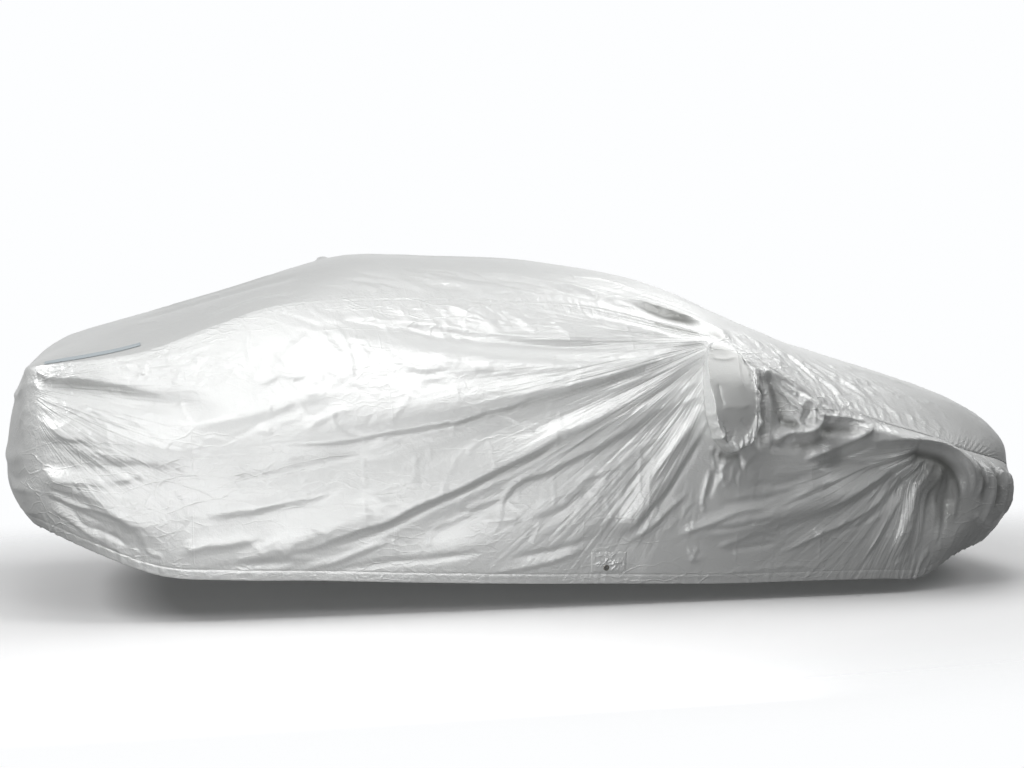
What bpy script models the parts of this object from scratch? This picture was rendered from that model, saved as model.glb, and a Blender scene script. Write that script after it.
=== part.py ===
"""A fitted cover for a saloon car, standing in the folds it takes over the car.

Units are metres. +X points to the car's front, +Y to its left side and +Z up.
The origin is below the middle of the cover, at the height of its lowest hem.

The cover is three lengths of cloth. The centre panel runs from a tongue low on the nose over the
bonnet, roof and boot and down the tail. The two side panels run from the tail corners round to the
middle of the nose. Each carries a bag for a door mirror, and a patch with an eyelet just above the hem.
"""

import math
from typing import NamedTuple

import bmesh
import bpy
import numpy as np
from mathutils import Matrix, Vector

# Cloth and sewing
CLOTH = 0.0015
SEAM_GAP = 0.0003
NOSE_SEAM_GAP = 0.0028  # wider, because the two panels meet at a hollow angle there
NOSE_SEAM_START = (1.50, 1.68)
SEAM_FADE = 0.07  # folds fade out within this distance of the seam along the top
HEM_FADE = 0.05
HEM_FOLD_SHARE = 0.35  # how much of a fold is left at the hem
CROWN_POWER = 2.3  # the cross-wise arch of the centre panel
UPPER_POWER = 2.4  # how the side leans in from its widest line up to the seam
LOWER_POWER = 2.0  # and down to the hem

# Mesh density
CENTRE_COLUMNS = 12
TAIL_ROWS = 6
SIDE_ROWS = 16
COLUMN_STEP = 0.092
MIRROR_STEP = 0.056
MIRROR_ZONE = (0.25, 1.15)
FOLD_STEPS = 25  # points along a fold's bow
FINE_STEPS = 400  # points along a line that is read by interpolation
SLOPE_STEP = 0.004

# Mirror bag: a teardrop that stands out from the side
BAG_CENTRE = (0.605, 0.780)
BAG_HALF_WIDTH = 0.116
BAG_HALF_HEIGHT = 0.206
BAG_TAPER = 0.42  # the top is this much narrower than the middle
BAG_STAND_OUT = 0.118
BAG_SEAM_ALLOWANCE = 0.012
BAG_AROUND = 22
BAG_ROOM = 0.0006  # between the bag and the edge of its hole

# Eyelet and its patch
EYELET_GIRTH = 0.095
EYELET_HEIGHT = 0.103
EYELET_HOLE = 0.012
EYELET_FLANGE = 0.025
EYELET_TUBE = 0.0146
FLANGE_THICK = 0.0012
EYELET_STEPS = 20
PATCH_SIZE = (0.150, 0.084)
PATCH_SHIFT = (0.010, 0.022)  # of the patch's middle from the eyelet
PATCH_LIFT = 0.0009
PATCH_FLAT = 0.13  # no fold within this distance of the eyelet

# Reflective strip, beside the seam at the tail corner
STRIP_START = -2.085
STRIP_LENGTH = 0.355
STRIP_WIDTH = 0.030
STRIP_FROM_SEAM = (0.022, 0.075)  # at its rear and front ends, to its middle
STRIP_THICK = 0.001
STRIP_DROP = 0.08  # it is laid down from this height above the seam
STRIP_LIFT = 0.0012
STRIP_STEPS = 30


class Section(NamedTuple):
    """One upright line down the side: its points (x, out from the middle, z) at three levels."""

    name: str
    seam: tuple
    waist: tuple
    hem: tuple


SECTIONS = [
    Section("tail_centre", (-2.175, 0.000, 0.905), (-2.250, 0.000, 0.500), (-2.160, 0.000, 0.300)),
    Section("tail_quarter", (-2.165, 0.420, 0.912), (-2.232, 0.440, 0.500), (-2.145, 0.420, 0.300)),
    Section("tail_corner", (-2.110, 0.735, 0.925), (-2.108, 0.795, 0.510), (-2.060, 0.760, 0.295)),
    Section("rear_quarter", (-1.930, 0.800, 0.940), (-1.930, 0.885, 0.505), (-1.900, 0.850, 0.225)),
    Section("boot_side", (-1.720, 0.780, 0.975), (-1.690, 0.918, 0.500), (-1.670, 0.880, 0.135)),
    Section("rear_arch", (-1.450, 0.715, 1.075), (-1.400, 0.925, 0.500), (-1.400, 0.890, 0.108)),
    Section("rear_pillar", (-1.200, 0.670, 1.155), (-1.100, 0.925, 0.500), (-1.100, 0.890, 0.095)),
    Section("rear_door", (-0.800, 0.635, 1.185), (-0.750, 0.925, 0.480), (-0.750, 0.890, 0.075)),
    Section("middle_pillar", (-0.250, 0.620, 1.180), (-0.250, 0.925, 0.460), (-0.250, 0.890, 0.050)),
    Section("front_door", (0.120, 0.650, 1.156), (0.150, 0.925, 0.450), (0.150, 0.890, 0.035)),
    Section("front_pillar", (0.350, 0.715, 1.100), (0.380, 0.925, 0.450), (0.380, 0.890, 0.026)),
    Section("mirror", (0.610, 0.790, 1.032), (0.620, 0.930, 0.450), (0.620, 0.890, 0.018)),
    Section("screen_foot", (0.850, 0.835, 0.905), (0.850, 0.925, 0.450), (0.850, 0.890, 0.0155)),
    Section("wing", (1.070, 0.865, 0.775), (1.080, 0.925, 0.430), (1.080, 0.890, 0.0135)),
    Section("front_arch", (1.320, 0.875, 0.680), (1.320, 0.920, 0.400), (1.320, 0.885, 0.0095)),
    Section("arch_front", (1.550, 0.840, 0.617), (1.590, 0.905, 0.400), (1.520, 0.860, 0.0060)),
    Section("nose_side", (1.770, 0.770, 0.545), (1.870, 0.845, 0.385), (1.740, 0.775, 0.090)),
    Section("nose_corner", (1.985, 0.625, 0.480), (2.060, 0.680, 0.360), (1.960, 0.590, 0.107)),
    Section("nose_quarter", (2.170, 0.400, 0.375), (2.190, 0.430, 0.320), (2.080, 0.390, 0.105)),
    Section("nose_centre", (2.240, 0.000, 0.345), (2.250, 0.000, 0.310), (2.150, 0.000, 0.105)),
]
TAIL_CORNER = 2
NOSE_CORNER = 17


class Spine(NamedTuple):
    """The middle of the centre panel, level with a point of its seam."""

    seam_x: float
    x: float
    z: float


SPINE = [
    Spine(-2.110, -2.175, 0.905),
    Spine(-2.070, -2.125, 0.965),
    Spine(-2.010, -2.035, 1.028),
    Spine(-1.940, -1.950, 1.062),
    Spine(-1.830, -1.830, 1.098),
    Spine(-1.620, -1.620, 1.158),
    Spine(-1.340, -1.340, 1.242),
    Spine(-1.060, -1.060, 1.337),
    Spine(-0.900, -0.900, 1.382),
    Spine(-0.476, -0.476, 1.392),
    Spine(-0.170, -0.170, 1.386),
    Spine(0.163, 0.163, 1.353),
    Spine(0.320, 0.320, 1.328),
    Spine(0.477, 0.477, 1.291),
    Spine(0.604, 0.604, 1.245),
    Spine(0.752, 0.752, 1.183),
    Spine(0.946, 0.946, 1.107),
    Spine(1.210, 1.220, 1.000),
    Spine(1.450, 1.546, 0.900),
    Spine(1.600, 1.800, 0.825),
    Spine(1.770, 2.020, 0.745),
    Spine(1.860, 2.135, 0.665),
    Spine(1.930, 2.215, 0.530),
    Spine(1.985, 2.240, 0.345),
]


class Fold(NamedTuple):
    """A ridge, or a trough where rise is negative, along a bow through three points.

    On the sides a point is (girth, z), where girth runs along the widest line and is 0 beside the
    origin. On the centre panel it is (x, y). The skew widens the far side of the ridge.
    """

    start: tuple
    middle: tuple
    end: tuple
    width_start: float
    width_end: float
    rise: float
    skew: float


RIGHT_FOLDS = [
    # The fan that the mirror draws across the doors, from the top down.
    Fold((0.46, 0.980), (0.02, 0.985), (-0.97, 1.120), 0.045, 0.055, -0.028, 0.0),
    Fold((0.52, 0.950), (0.05, 0.915), (-0.80, 0.950), 0.040, 0.070, 0.018, 0.2),
    Fold((0.50, 0.930), (-0.30, 0.795), (-1.50, 0.590), 0.045, 0.085, 0.038, 0.3),
    Fold((0.48, 0.860), (-0.30, 0.680), (-1.35, 0.460), 0.045, 0.090, -0.026, 0.0),
    Fold((0.46, 0.820), (-0.16, 0.600), (-1.33, 0.160), 0.045, 0.080, 0.032, 0.3),
    Fold((0.45, 0.740), (-0.10, 0.490), (-0.85, 0.180), 0.040, 0.070, -0.020, 0.0),
    Fold((0.47, 0.720), (0.27, 0.420), (0.13, 0.200), 0.042, 0.045, 0.030, 0.0),
    # The drop ahead of the mirror and the drawn-in cloth over the front wheel.
    Fold((0.80, 0.900), (0.84, 0.740), (0.81, 0.580), 0.050, 0.055, -0.050, 0.0),
    Fold((0.95, 0.800), (1.00, 0.690), (0.95, 0.580), 0.050, 0.050, 0.028, 0.0),
    Fold((1.02, 0.570), (1.44, 0.420), (1.76, 0.220), 0.085, 0.110, -0.072, -0.35),
    Fold((1.10, 0.620), (1.50, 0.590), (1.84, 0.360), 0.052, 0.048, 0.026, 0.0),
    Fold((1.50, 0.500), (0.95, 0.330), (0.42, 0.230), 0.045, 0.050, 0.026, 0.2),
    Fold((1.58, 0.470), (1.47, 0.290), (1.38, 0.080), 0.042, 0.045, 0.024, 0.0),
    # The rear wing.
    Fold((-2.12, 0.865), (-1.75, 0.800), (-1.40, 0.800), 0.045, 0.055, -0.026, 0.0),
    Fold((-2.13, 0.690), (-1.85, 0.620), (-1.50, 0.580), 0.045, 0.060, 0.020, 0.2),
    Fold((-2.13, 0.500), (-1.90, 0.440), (-1.68, 0.240), 0.045, 0.055, 0.020, 0.2),
]

LEFT_FOLDS = [
    Fold((0.46, 0.980), (0.00, 0.975), (-0.90, 1.080), 0.045, 0.060, -0.026, 0.0),
    Fold((0.50, 0.930), (-0.25, 0.830), (-1.30, 0.690), 0.045, 0.080, 0.034, 0.3),
    Fold((0.47, 0.840), (-0.25, 0.650), (-1.20, 0.340), 0.045, 0.085, 0.026, 0.3),
    Fold((0.46, 0.760), (-0.05, 0.490), (-0.70, 0.200), 0.042, 0.070, -0.022, 0.0),
    Fold((0.48, 0.700), (0.30, 0.420), (0.16, 0.210), 0.042, 0.045, 0.028, 0.0),
    Fold((0.80, 0.890), (0.84, 0.740), (0.80, 0.590), 0.050, 0.055, -0.048, 0.0),
    Fold((1.05, 0.580), (1.40, 0.420), (1.72, 0.230), 0.090, 0.110, -0.055, -0.35),
    Fold((1.50, 0.500), (1.00, 0.350), (0.50, 0.250), 0.045, 0.050, 0.024, 0.2),
    Fold((1.56, 0.460), (1.44, 0.290), (1.32, 0.090), 0.042, 0.045, 0.022, 0.0),
    Fold((-2.12, 0.850), (-1.80, 0.790), (-1.38, 0.770), 0.045, 0.055, -0.024, 0.0),
    Fold((-2.13, 0.590), (-1.80, 0.530), (-1.45, 0.470), 0.045, 0.060, 0.022, 0.2),
    Fold((-2.12, 0.430), (-1.90, 0.330), (-1.65, 0.230), 0.045, 0.055, 0.018, 0.2),
]

CENTRE_FOLDS = [
    # The aerial's peak, then slack over the rear window and the foot of the windscreen.
    Fold((-0.96, 0.00), (-0.935, 0.00), (-0.91, 0.00), 0.050, 0.050, 0.012, 0.0),
    Fold((-1.05, 0.42), (-1.45, 0.28), (-1.85, 0.22), 0.050, 0.060, -0.014, 0.0),
    Fold((-1.05, -0.40), (-1.40, -0.30), (-1.80, -0.34), 0.050, 0.060, -0.012, 0.0),
    Fold((0.55, -0.45), (0.95, -0.30), (1.25, -0.42), 0.050, 0.060, -0.012, 0.0),
    Fold((0.60, 0.40), (1.00, 0.34), (1.30, 0.48), 0.050, 0.060, -0.012, 0.0),
    Fold((1.30, -0.10), (1.65, 0.00), (1.95, -0.06), 0.050, 0.060, -0.008, 0.0),
]

# The cloth stands out round the mirror, steeply ahead of it and slowly behind and below.
TENT_CENTRE = (0.60, 0.82)
TENT_RISE = 0.062
TENT_REACH = {"ahead": 0.20, "behind": 0.62, "above": 0.22, "below": 0.42}

# Finishes: linear RGB, roughness, metallic
FINISHES = {
    "silver_cloth": ((0.62, 0.64, 0.66), 0.42, 0.35),
    "grey_strip": ((0.24, 0.27, 0.29), 0.55, 0.0),
    "plated_steel": ((0.60, 0.60, 0.58), 0.25, 1.0),
}


def smooth_through(knots, values, at):
    """Reads a smooth curve through values at knots (cubic Hermite pieces with averaged slopes)."""
    knots = np.asarray(knots, float)
    values = np.asarray(values, float)
    at = np.clip(np.asarray(at, float), knots[0], knots[-1])
    steps = np.diff(knots)[:, None]
    chords = np.diff(values, axis=0) / steps
    slopes = np.empty_like(values)
    slopes[0] = chords[0]
    slopes[-1] = chords[-1]
    slopes[1:-1] = (chords[:-1] * steps[1:] + chords[1:] * steps[:-1]) / (steps[1:] + steps[:-1])
    piece = np.clip(np.searchsorted(knots, at, side="right") - 1, 0, len(knots) - 2)
    length = steps[piece]
    u = ((at - knots[piece])[..., None]) / length
    start = values[piece] * (1 + 2 * u) * (1 - u) ** 2 + slopes[piece] * length * u * (1 - u) ** 2
    end = values[piece + 1] * u**2 * (3 - 2 * u) + slopes[piece + 1] * length * u**2 * (u - 1)
    return start + end


def smoothstep(low, high, x):
    """Rises from 0 at low to 1 at high."""
    u = np.clip((x - low) / (high - low), 0.0, 1.0)
    return u * u * (3 - 2 * u)


def section_girths():
    """The girth of each section: the distance along the waist line, 0 beside the origin."""
    waist = np.array([section.waist[:2] for section in SECTIONS])
    along = np.concatenate([[0.0], np.cumsum(np.linalg.norm(np.diff(waist, axis=0), axis=1))])
    side = slice(TAIL_CORNER, NOSE_CORNER + 1)
    return along - np.interp(0.0, waist[side, 0], along[side])


GIRTHS = section_girths()
LEVELS = np.array([[*section.seam, *section.waist, *section.hem] for section in SECTIONS])


def folds_at(folds, across, up):
    """The rise of all the folds at points of the folds' own plane."""
    total = np.zeros(np.shape(across))
    for fold in folds:
        start, middle, end = (np.array(p) for p in (fold.start, fold.middle, fold.end))
        control = 2 * middle - (start + end) / 2
        nearest = np.full(total.shape, np.inf)
        side = np.zeros(total.shape)
        place = np.zeros(total.shape)
        for u in np.linspace(0, 1, FOLD_STEPS):
            point = (1 - u) ** 2 * start + 2 * u * (1 - u) * control + u * u * end
            tangent = 2 * (1 - u) * (control - start) + 2 * u * (end - control)
            tangent /= max(np.linalg.norm(tangent), 1e-9)
            dx, dy = across - point[0], up - point[1]
            gap = np.hypot(dx, dy)
            closer = gap < nearest
            nearest = np.where(closer, gap, nearest)
            side = np.where(closer, tangent[0] * dy - tangent[1] * dx, side)
            place = np.where(closer, u, place)
        width = fold.width_start + (fold.width_end - fold.width_start) * place
        upward = side if end[0] >= start[0] else -side
        width = width * np.where(upward > 0, 1 + fold.skew, 1 - fold.skew)
        fade = smoothstep(-0.02, 0.18, place) * smoothstep(-0.02, 0.30, 1 - place)
        total += fold.rise * fade * np.exp(-((nearest / width) ** 2))
    return total


def tent_at(girth, z):
    """How far the mirror pushes the cloth out."""
    along = girth - TENT_CENTRE[0]
    rise = z - TENT_CENTRE[1]
    along = along / np.where(along > 0, TENT_REACH["ahead"], TENT_REACH["behind"])
    rise = rise / np.where(rise > 0, TENT_REACH["above"], TENT_REACH["below"])
    return TENT_RISE * np.exp(-np.hypot(along, rise) ** 1.5)


def bare_wall(girth, v):
    """Points (x, out, z) of the side without folds; v runs from the seam, 0, to the hem, 1."""
    level = smooth_through(GIRTHS, LEVELS, girth)
    seam, waist, hem = level[..., 0:3], level[..., 3:6], level[..., 6:9]
    z = seam[..., 2] + (hem[..., 2] - seam[..., 2]) * v
    above = np.clip((z - waist[..., 2]) / (seam[..., 2] - waist[..., 2]), 0, 1) ** UPPER_POWER
    below = np.clip((waist[..., 2] - z) / (waist[..., 2] - hem[..., 2]), 0, 1) ** LOWER_POWER
    plan = waist[..., :2] + (seam - waist)[..., :2] * above[..., None]
    plan = plan + (hem - waist)[..., :2] * below[..., None]
    return np.concatenate([plan, z[..., None]], axis=-1)


def wall(folds, girth, v):
    """Points (x, out, z) of the draped side, and the outward direction at each."""
    girth, v = np.broadcast_arrays(np.asarray(girth, float), np.asarray(v, float))
    low = np.clip(girth - SLOPE_STEP, GIRTHS[0], GIRTHS[-1])
    high = np.clip(girth + SLOPE_STEP, GIRTHS[0], GIRTHS[-1])
    forward = bare_wall(high, v) - bare_wall(low, v)
    below = bare_wall(girth, np.clip(v + SLOPE_STEP, 0, 1))
    down = below - bare_wall(girth, np.clip(v - SLOPE_STEP, 0, 1))
    outward = np.cross(forward, down)
    outward /= np.linalg.norm(outward, axis=-1, keepdims=True)
    point = bare_wall(girth, v)
    z = point[..., 2]
    seam_z = smooth_through(GIRTHS, LEVELS[:, 2:3], girth)[..., 0]
    hem_z = smooth_through(GIRTHS, LEVELS[:, 8:9], girth)[..., 0]
    calm = smoothstep(0, SEAM_FADE, seam_z - z)
    calm = calm * (HEM_FOLD_SHARE + (1 - HEM_FOLD_SHARE) * smoothstep(0, HEM_FADE, z - hem_z))
    at_patch = np.hypot(girth - EYELET_GIRTH - PATCH_SHIFT[0], z - EYELET_HEIGHT - PATCH_SHIFT[1])
    calm = calm * smoothstep(PATCH_FLAT - 0.04, PATCH_FLAT + 0.06, at_patch)
    height = (folds_at(folds, girth, z) + tent_at(girth, z)) * calm
    return point + outward * height[..., None], outward


def side_v(girth, z):
    """The v at which the side has height z."""
    level = smooth_through(GIRTHS, LEVELS, girth)
    return (level[..., 2] - z) / (level[..., 2] - level[..., 8])


def column_girths():
    """The girths of the side panel's columns from the tail corner to the nose corner."""
    girths = [GIRTHS[TAIL_CORNER]]
    while girths[-1] < GIRTHS[NOSE_CORNER] - COLUMN_STEP / 2:
        near_mirror = MIRROR_ZONE[0] < girths[-1] < MIRROR_ZONE[1]
        girths.append(girths[-1] + (MIRROR_STEP if near_mirror else COLUMN_STEP))
    girths[-1] = GIRTHS[NOSE_CORNER]
    return np.array(girths)


def end_girths(first, last, count):
    """Girths round one end of the car, evenly spaced across it, from its middle to its corner."""
    fine = np.linspace(first, last, FINE_STEPS)
    out = bare_wall(fine, np.zeros_like(fine))[:, 1]
    share = np.linspace(0, 1, count)
    order = np.argsort(out)
    return np.interp(share * out.max(), out[order], fine[order])


TAIL_GIRTHS = end_girths(GIRTHS[0], GIRTHS[TAIL_CORNER], CENTRE_COLUMNS // 2 + 1)
NOSE_GIRTHS = end_girths(GIRTHS[-1], GIRTHS[NOSE_CORNER], CENTRE_COLUMNS // 2 + 1)
SIDE_GIRTHS = column_girths()


def side_surface(folds):
    """The side panel's points (x, out, z) by column, tail to nose, and row, seam to hem."""
    girths = np.concatenate([SIDE_GIRTHS, NOSE_GIRTHS[::-1][1:]])
    rows = np.linspace(0, 1, SIDE_ROWS + 1)
    points, _ = wall(folds, girths[:, None], rows[None, :])
    points[:, 0] += toward(points[:, 0], points[:, 1], half_gap(points[:, 0, 0]))
    points[0] += toward(points[0], points[1], SEAM_GAP / 2)
    points[-1] += toward(points[-1], points[-2], SEAM_GAP / 2)
    return points


def half_gap(x):
    """Half of the gap along the top seam at x, as a column."""
    share = smoothstep(*NOSE_SEAM_START, np.asarray(x))
    return (SEAM_GAP + (NOSE_SEAM_GAP - SEAM_GAP) * share)[..., None] / 2


def toward(here, there, distance):
    """The step of that distance from points here towards points there."""
    way = there - here
    return way / np.linalg.norm(way, axis=-1, keepdims=True) * distance


def centre_surface():
    """The centre panel's points (x, y, z) by row, tail hem to nose, and column, right to left."""
    half_columns = CENTRE_COLUMNS // 2
    share = np.abs(np.arange(-half_columns, half_columns + 1)) / half_columns
    sign = np.sign(np.arange(-half_columns, half_columns + 1))
    pick = np.abs(np.arange(-half_columns, half_columns + 1))

    tail_rows = []
    for v in np.linspace(1, 0, TAIL_ROWS + 1):
        right, _ = wall(RIGHT_FOLDS, TAIL_GIRTHS, np.full(half_columns + 1, v))
        left, _ = wall(LEFT_FOLDS, TAIL_GIRTHS, np.full(half_columns + 1, v))
        row = np.where(sign[:, None] < 0, right[pick], left[pick])
        tail_rows.append(row * np.stack([np.ones_like(sign), sign, np.ones_like(sign)], axis=1))

    seam = bare_wall(SIDE_GIRTHS, np.zeros_like(SIDE_GIRTHS))
    spine = smooth_through([s.seam_x for s in SPINE], [[s.x, s.z] for s in SPINE], seam[:, 0])
    nose = bare_wall(NOSE_GIRTHS, np.zeros_like(NOSE_GIRTHS))
    tail = bare_wall(TAIL_GIRTHS, np.zeros_like(TAIL_GIRTHS))
    arch = 1 - share**CROWN_POWER
    run = np.linspace(0, 1, len(SIDE_GIRTHS))
    top_rows = []
    for i in range(1, len(SIDE_GIRTHS)):
        to_tail = 1 - smoothstep(0.0, 0.12, run[i])
        to_nose = smoothstep(0.86, 1.0, run[i])
        row = np.empty((len(share), 3))
        for axis, middle in ((0, spine[i, 0]), (2, spine[i, 1])):
            tail_arch = end_arch(tail[:, axis])[pick]
            nose_arch = end_arch(nose[:, axis])[pick]
            shape = arch * (1 - to_tail - to_nose) + tail_arch * to_tail + nose_arch * to_nose
            row[:, axis] = seam[i, axis] + (middle - seam[i, axis]) * shape
        row[:, 1] = seam[i, 1] * share * sign
        top_rows.append(row)

    top = np.array(top_rows)
    along = np.gradient(top, axis=0)
    across = np.gradient(top, axis=1)
    upward = np.cross(along, across)
    upward /= np.linalg.norm(upward, axis=-1, keepdims=True)
    calm = smoothstep(0.0, 0.25, 1 - share)[None, :]
    rise = folds_at(CENTRE_FOLDS, top[..., 0], top[..., 1]) * calm
    rise[-1] = 0
    top = top + upward * rise[..., None]
    points = np.concatenate([np.array(tail_rows), top])
    for edge, inner in ((0, 1), (-1, -2)):
        points[:, edge] += toward(points[:, edge], points[:, inner], half_gap(points[:, edge, 0]))
    points[-1] += toward(points[-1], points[-2], NOSE_SEAM_GAP / 2)
    return points


def end_arch(values):
    """How a line round one end rises, from 0 at its corner to 1 at its middle."""
    return (values - values[-1]) / (values[0] - values[-1])


def new_finish(name):
    """A material for one kind of finish."""
    material = bpy.data.materials.new(name)
    material.use_nodes = True
    colour, roughness, metallic = FINISHES[name]
    shader = material.node_tree.nodes["Principled BSDF"]
    shader.inputs["Base Color"].default_value = (*colour, 1.0)
    shader.inputs["Roughness"].default_value = roughness
    shader.inputs["Metallic"].default_value = metallic
    return material


def new_collection(name):
    """A collection in the scene."""
    collection = bpy.data.collections.new(name)
    bpy.context.scene.collection.children.link(collection)
    return collection


def object_from(bm, name, collection, finish=None):
    """Makes an object of a bmesh, and frees the bmesh."""
    mesh = bpy.data.meshes.new(name)
    bm.to_mesh(mesh)
    bm.free()
    piece = bpy.data.objects.new(name, mesh)
    collection.objects.link(piece)
    if finish:
        material = new_finish(finish)
        material.name = f"{name}_{finish}"
        mesh.materials.append(material)
    mesh.shade_smooth()
    return piece


def sheet_from(points):
    """A bmesh sheet through a grid of points, its faces made by the grid operator."""
    columns, rows = points.shape[:2]
    bm = bmesh.new()
    bmesh.ops.create_grid(bm, x_segments=columns - 1, y_segments=rows - 1, size=0.5)
    for vert in bm.verts:
        i = round((vert.co.x + 0.5) * (columns - 1))
        j = round((vert.co.y + 0.5) * (rows - 1))
        vert.co = Vector(points[i, j])
    bm.normal_update()
    return bm


def face_away(bm, inner):
    """Turns the sheet's faces away from a point inside."""
    outward = 0.0
    for face in bm.faces:
        outward += (face.calc_center_median() - inner).dot(face.normal) * face.calc_area()
    if outward < 0:
        bmesh.ops.reverse_faces(bm, faces=bm.faces)
        bm.normal_update()


def thicken(piece, thickness, offset):
    """Gives a sheet its thickness: outwards with offset 1, inwards with -1."""
    solid = piece.modifiers.new("thickness", "SOLIDIFY")
    solid.thickness = thickness
    solid.offset = offset
    solid.use_even_offset = True
    solid.use_quality_normals = True
    solid.thickness_clamp = 0.0


def split_along_fan(piece):
    """Splits a draped sheet's faces along the way its main folds run."""
    split = piece.modifiers.new("split", "TRIANGULATE")
    split.quad_method = "FIXED_ALTERNATE"


def cut(piece, cutter):
    """Cuts one solid's shape out of a piece."""
    cutter.hide_render = True
    cutter.display_type = "WIRE"
    boolean = piece.modifiers.new(f"cut_{cutter.name}", "BOOLEAN")
    boolean.operation = "DIFFERENCE"
    boolean.solver = "EXACT"
    boolean.object = cutter


class Side(NamedTuple):
    """One side of the car: its name, the sign of its Y, and its folds."""

    name: str
    sign: int
    folds: list


SIDES = (Side("right", -1, RIGHT_FOLDS), Side("left", 1, LEFT_FOLDS))


def outwards(side, points):
    """Turns points (x, out, z) into (x, y, z) on one side of the car."""
    return np.asarray(points) * np.array([1.0, side.sign, 1.0])


def make_centre_panel(parts):
    """The length of cloth from the nose over the roof to the tail hem."""
    bm = sheet_from(centre_surface())
    face_away(bm, Vector((0, 0, 0.5)))
    panel = object_from(bm, "centre_panel", parts, "silver_cloth")
    thicken(panel, CLOTH, 1.0)
    return panel


def make_side_panel(side, parts):
    """The cloth of one side, round to the middle of the nose."""
    bm = sheet_from(outwards(side, side_surface(side.folds)))
    face_away(bm, Vector((0, 0, 0.5)))
    panel = object_from(bm, f"side_panel_{side.name}", parts, "silver_cloth")
    split_along_fan(panel)
    thicken(panel, CLOTH, 1.0)
    return panel


# The bag's rings, from the seam allowance inside the panel to the middle of its face:
# the share of the outline, and the share of the stand-out.
BAG_RINGS = [
    (0.98, None),
    (0.98, 0.00),
    (1.00, 0.22),
    (1.03, 0.50),
    (1.02, 0.74),
    (0.94, 0.90),
    (0.78, 0.97),
    (0.50, 1.00),
    (0.22, 1.01),
]


def bag_ring(side, size, share, inward):
    """The points (x, out, z) of one ring of the mirror bag."""
    angle = np.linspace(0, 2 * math.pi, BAG_AROUND, endpoint=False)
    up = np.sin(angle)
    width = BAG_HALF_WIDTH * (1 - BAG_TAPER * (up + 0.4) / 1.4 * (up > -0.4))
    x = BAG_CENTRE[0] + size * width * np.cos(angle)
    z = BAG_CENTRE[1] + size * BAG_HALF_HEIGHT * up
    surface, _ = wall(side.folds, x, side_v(x, z))
    reach = size * up
    stand = BAG_STAND_OUT * (1 - smoothstep(0.15, 1.05, reach)) * (1 - 0.35 * smoothstep(0.2, 1.0, -reach))
    lift = -inward if share is None else (stand + BAG_SEAM_ALLOWANCE) * share
    surface[:, 1] += lift
    return surface


def bag_mesh(side, allowance):
    """The mirror bag as an open sheet: rings bridged one to the next, and a centre point."""
    bm = bmesh.new()
    loops = []
    for size, share in BAG_RINGS:
        points = outwards(side, bag_ring(side, size, share, allowance))
        verts = [bm.verts.new(p) for p in points]
        loops.append([bm.edges.new((verts[k - 1], verts[k])) for k in range(len(verts))])
    for inner, outer in zip(loops, loops[1:]):
        bmesh.ops.bridge_loops(bm, edges=inner + outer)
    tip = bmesh.ops.edgeloop_fill(bm, edges=loops[-1])["faces"]
    bmesh.ops.poke(bm, faces=tip)
    bm.normal_update()
    face_away(bm, Vector((BAG_CENTRE[0], side.sign * 0.5, BAG_CENTRE[1])))
    return bm


def make_mirror_bag(side, parts, cutters, panel):
    """The bag for the door mirror, and the hole for it in the side panel."""
    bag = object_from(bag_mesh(side, BAG_SEAM_ALLOWANCE), f"mirror_pocket_{side.name}", parts, "silver_cloth")
    thicken(bag, CLOTH, -1.0)
    bm = bag_mesh(side, 3 * BAG_SEAM_ALLOWANCE)
    for vert in bm.verts:
        vert.co += vert.normal * BAG_ROOM
    rim = [edge for edge in bm.edges if edge.is_boundary]
    bmesh.ops.edgeloop_fill(bm, edges=rim)
    bmesh.ops.recalc_face_normals(bm, faces=bm.faces)
    cutter = object_from(bm, f"mirror_hole_{side.name}", cutters)
    cut(panel, cutter)
    return bag


def eyelet_place(side):
    """The eyelet's centre on the panel's inner face, and its outward direction."""
    girth = np.array([EYELET_GIRTH])
    point, outward = wall(side.folds, girth, side_v(girth, EYELET_HEIGHT))
    return Vector(outwards(side, point[0])), Vector(outwards(side, outward[0]))


def facing(place, outward):
    """A placing matrix that turns local Z to the outward direction."""
    return Matrix.Translation(place) @ outward.to_track_quat("Z", "Y").to_matrix().to_4x4()


def rod(name, diameter, place, outward, collection):
    """A round cutter along the outward direction."""
    bm = bmesh.new()
    bmesh.ops.create_cone(
        bm, cap_ends=True, segments=24, radius1=diameter / 2, radius2=diameter / 2, depth=0.03
    )
    cutter = object_from(bm, name, collection)
    cutter.matrix_world = facing(place, outward)
    return cutter


def make_eyelet_patch(side, parts, cutters, panel):
    """The patch on the outside of the panel, both cut open at the eyelet."""
    place, outward = eyelet_place(side)
    cut(panel, rod(f"eyelet_room_{side.name}", EYELET_FLANGE + 0.003, place, outward, cutters))
    across = EYELET_GIRTH + PATCH_SHIFT[0] + PATCH_SIZE[0] * np.linspace(-0.5, 0.5, 7)
    up = EYELET_HEIGHT + PATCH_SHIFT[1] + PATCH_SIZE[1] * np.linspace(-0.5, 0.5, 5)
    girth, z = np.meshgrid(across, up, indexing="ij")
    points, away = wall(side.folds, girth, side_v(girth, z))
    bm = sheet_from(outwards(side, points + away * (CLOTH + PATCH_LIFT)))
    face_away(bm, Vector((EYELET_GIRTH, 0, EYELET_HEIGHT)))
    patch = object_from(bm, f"eyelet_patch_{side.name}", parts, "silver_cloth")
    thicken(patch, CLOTH, 1.0)
    cut(patch, rod(f"eyelet_hole_{side.name}", EYELET_TUBE, place, outward, cutters))
    return patch


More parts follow.
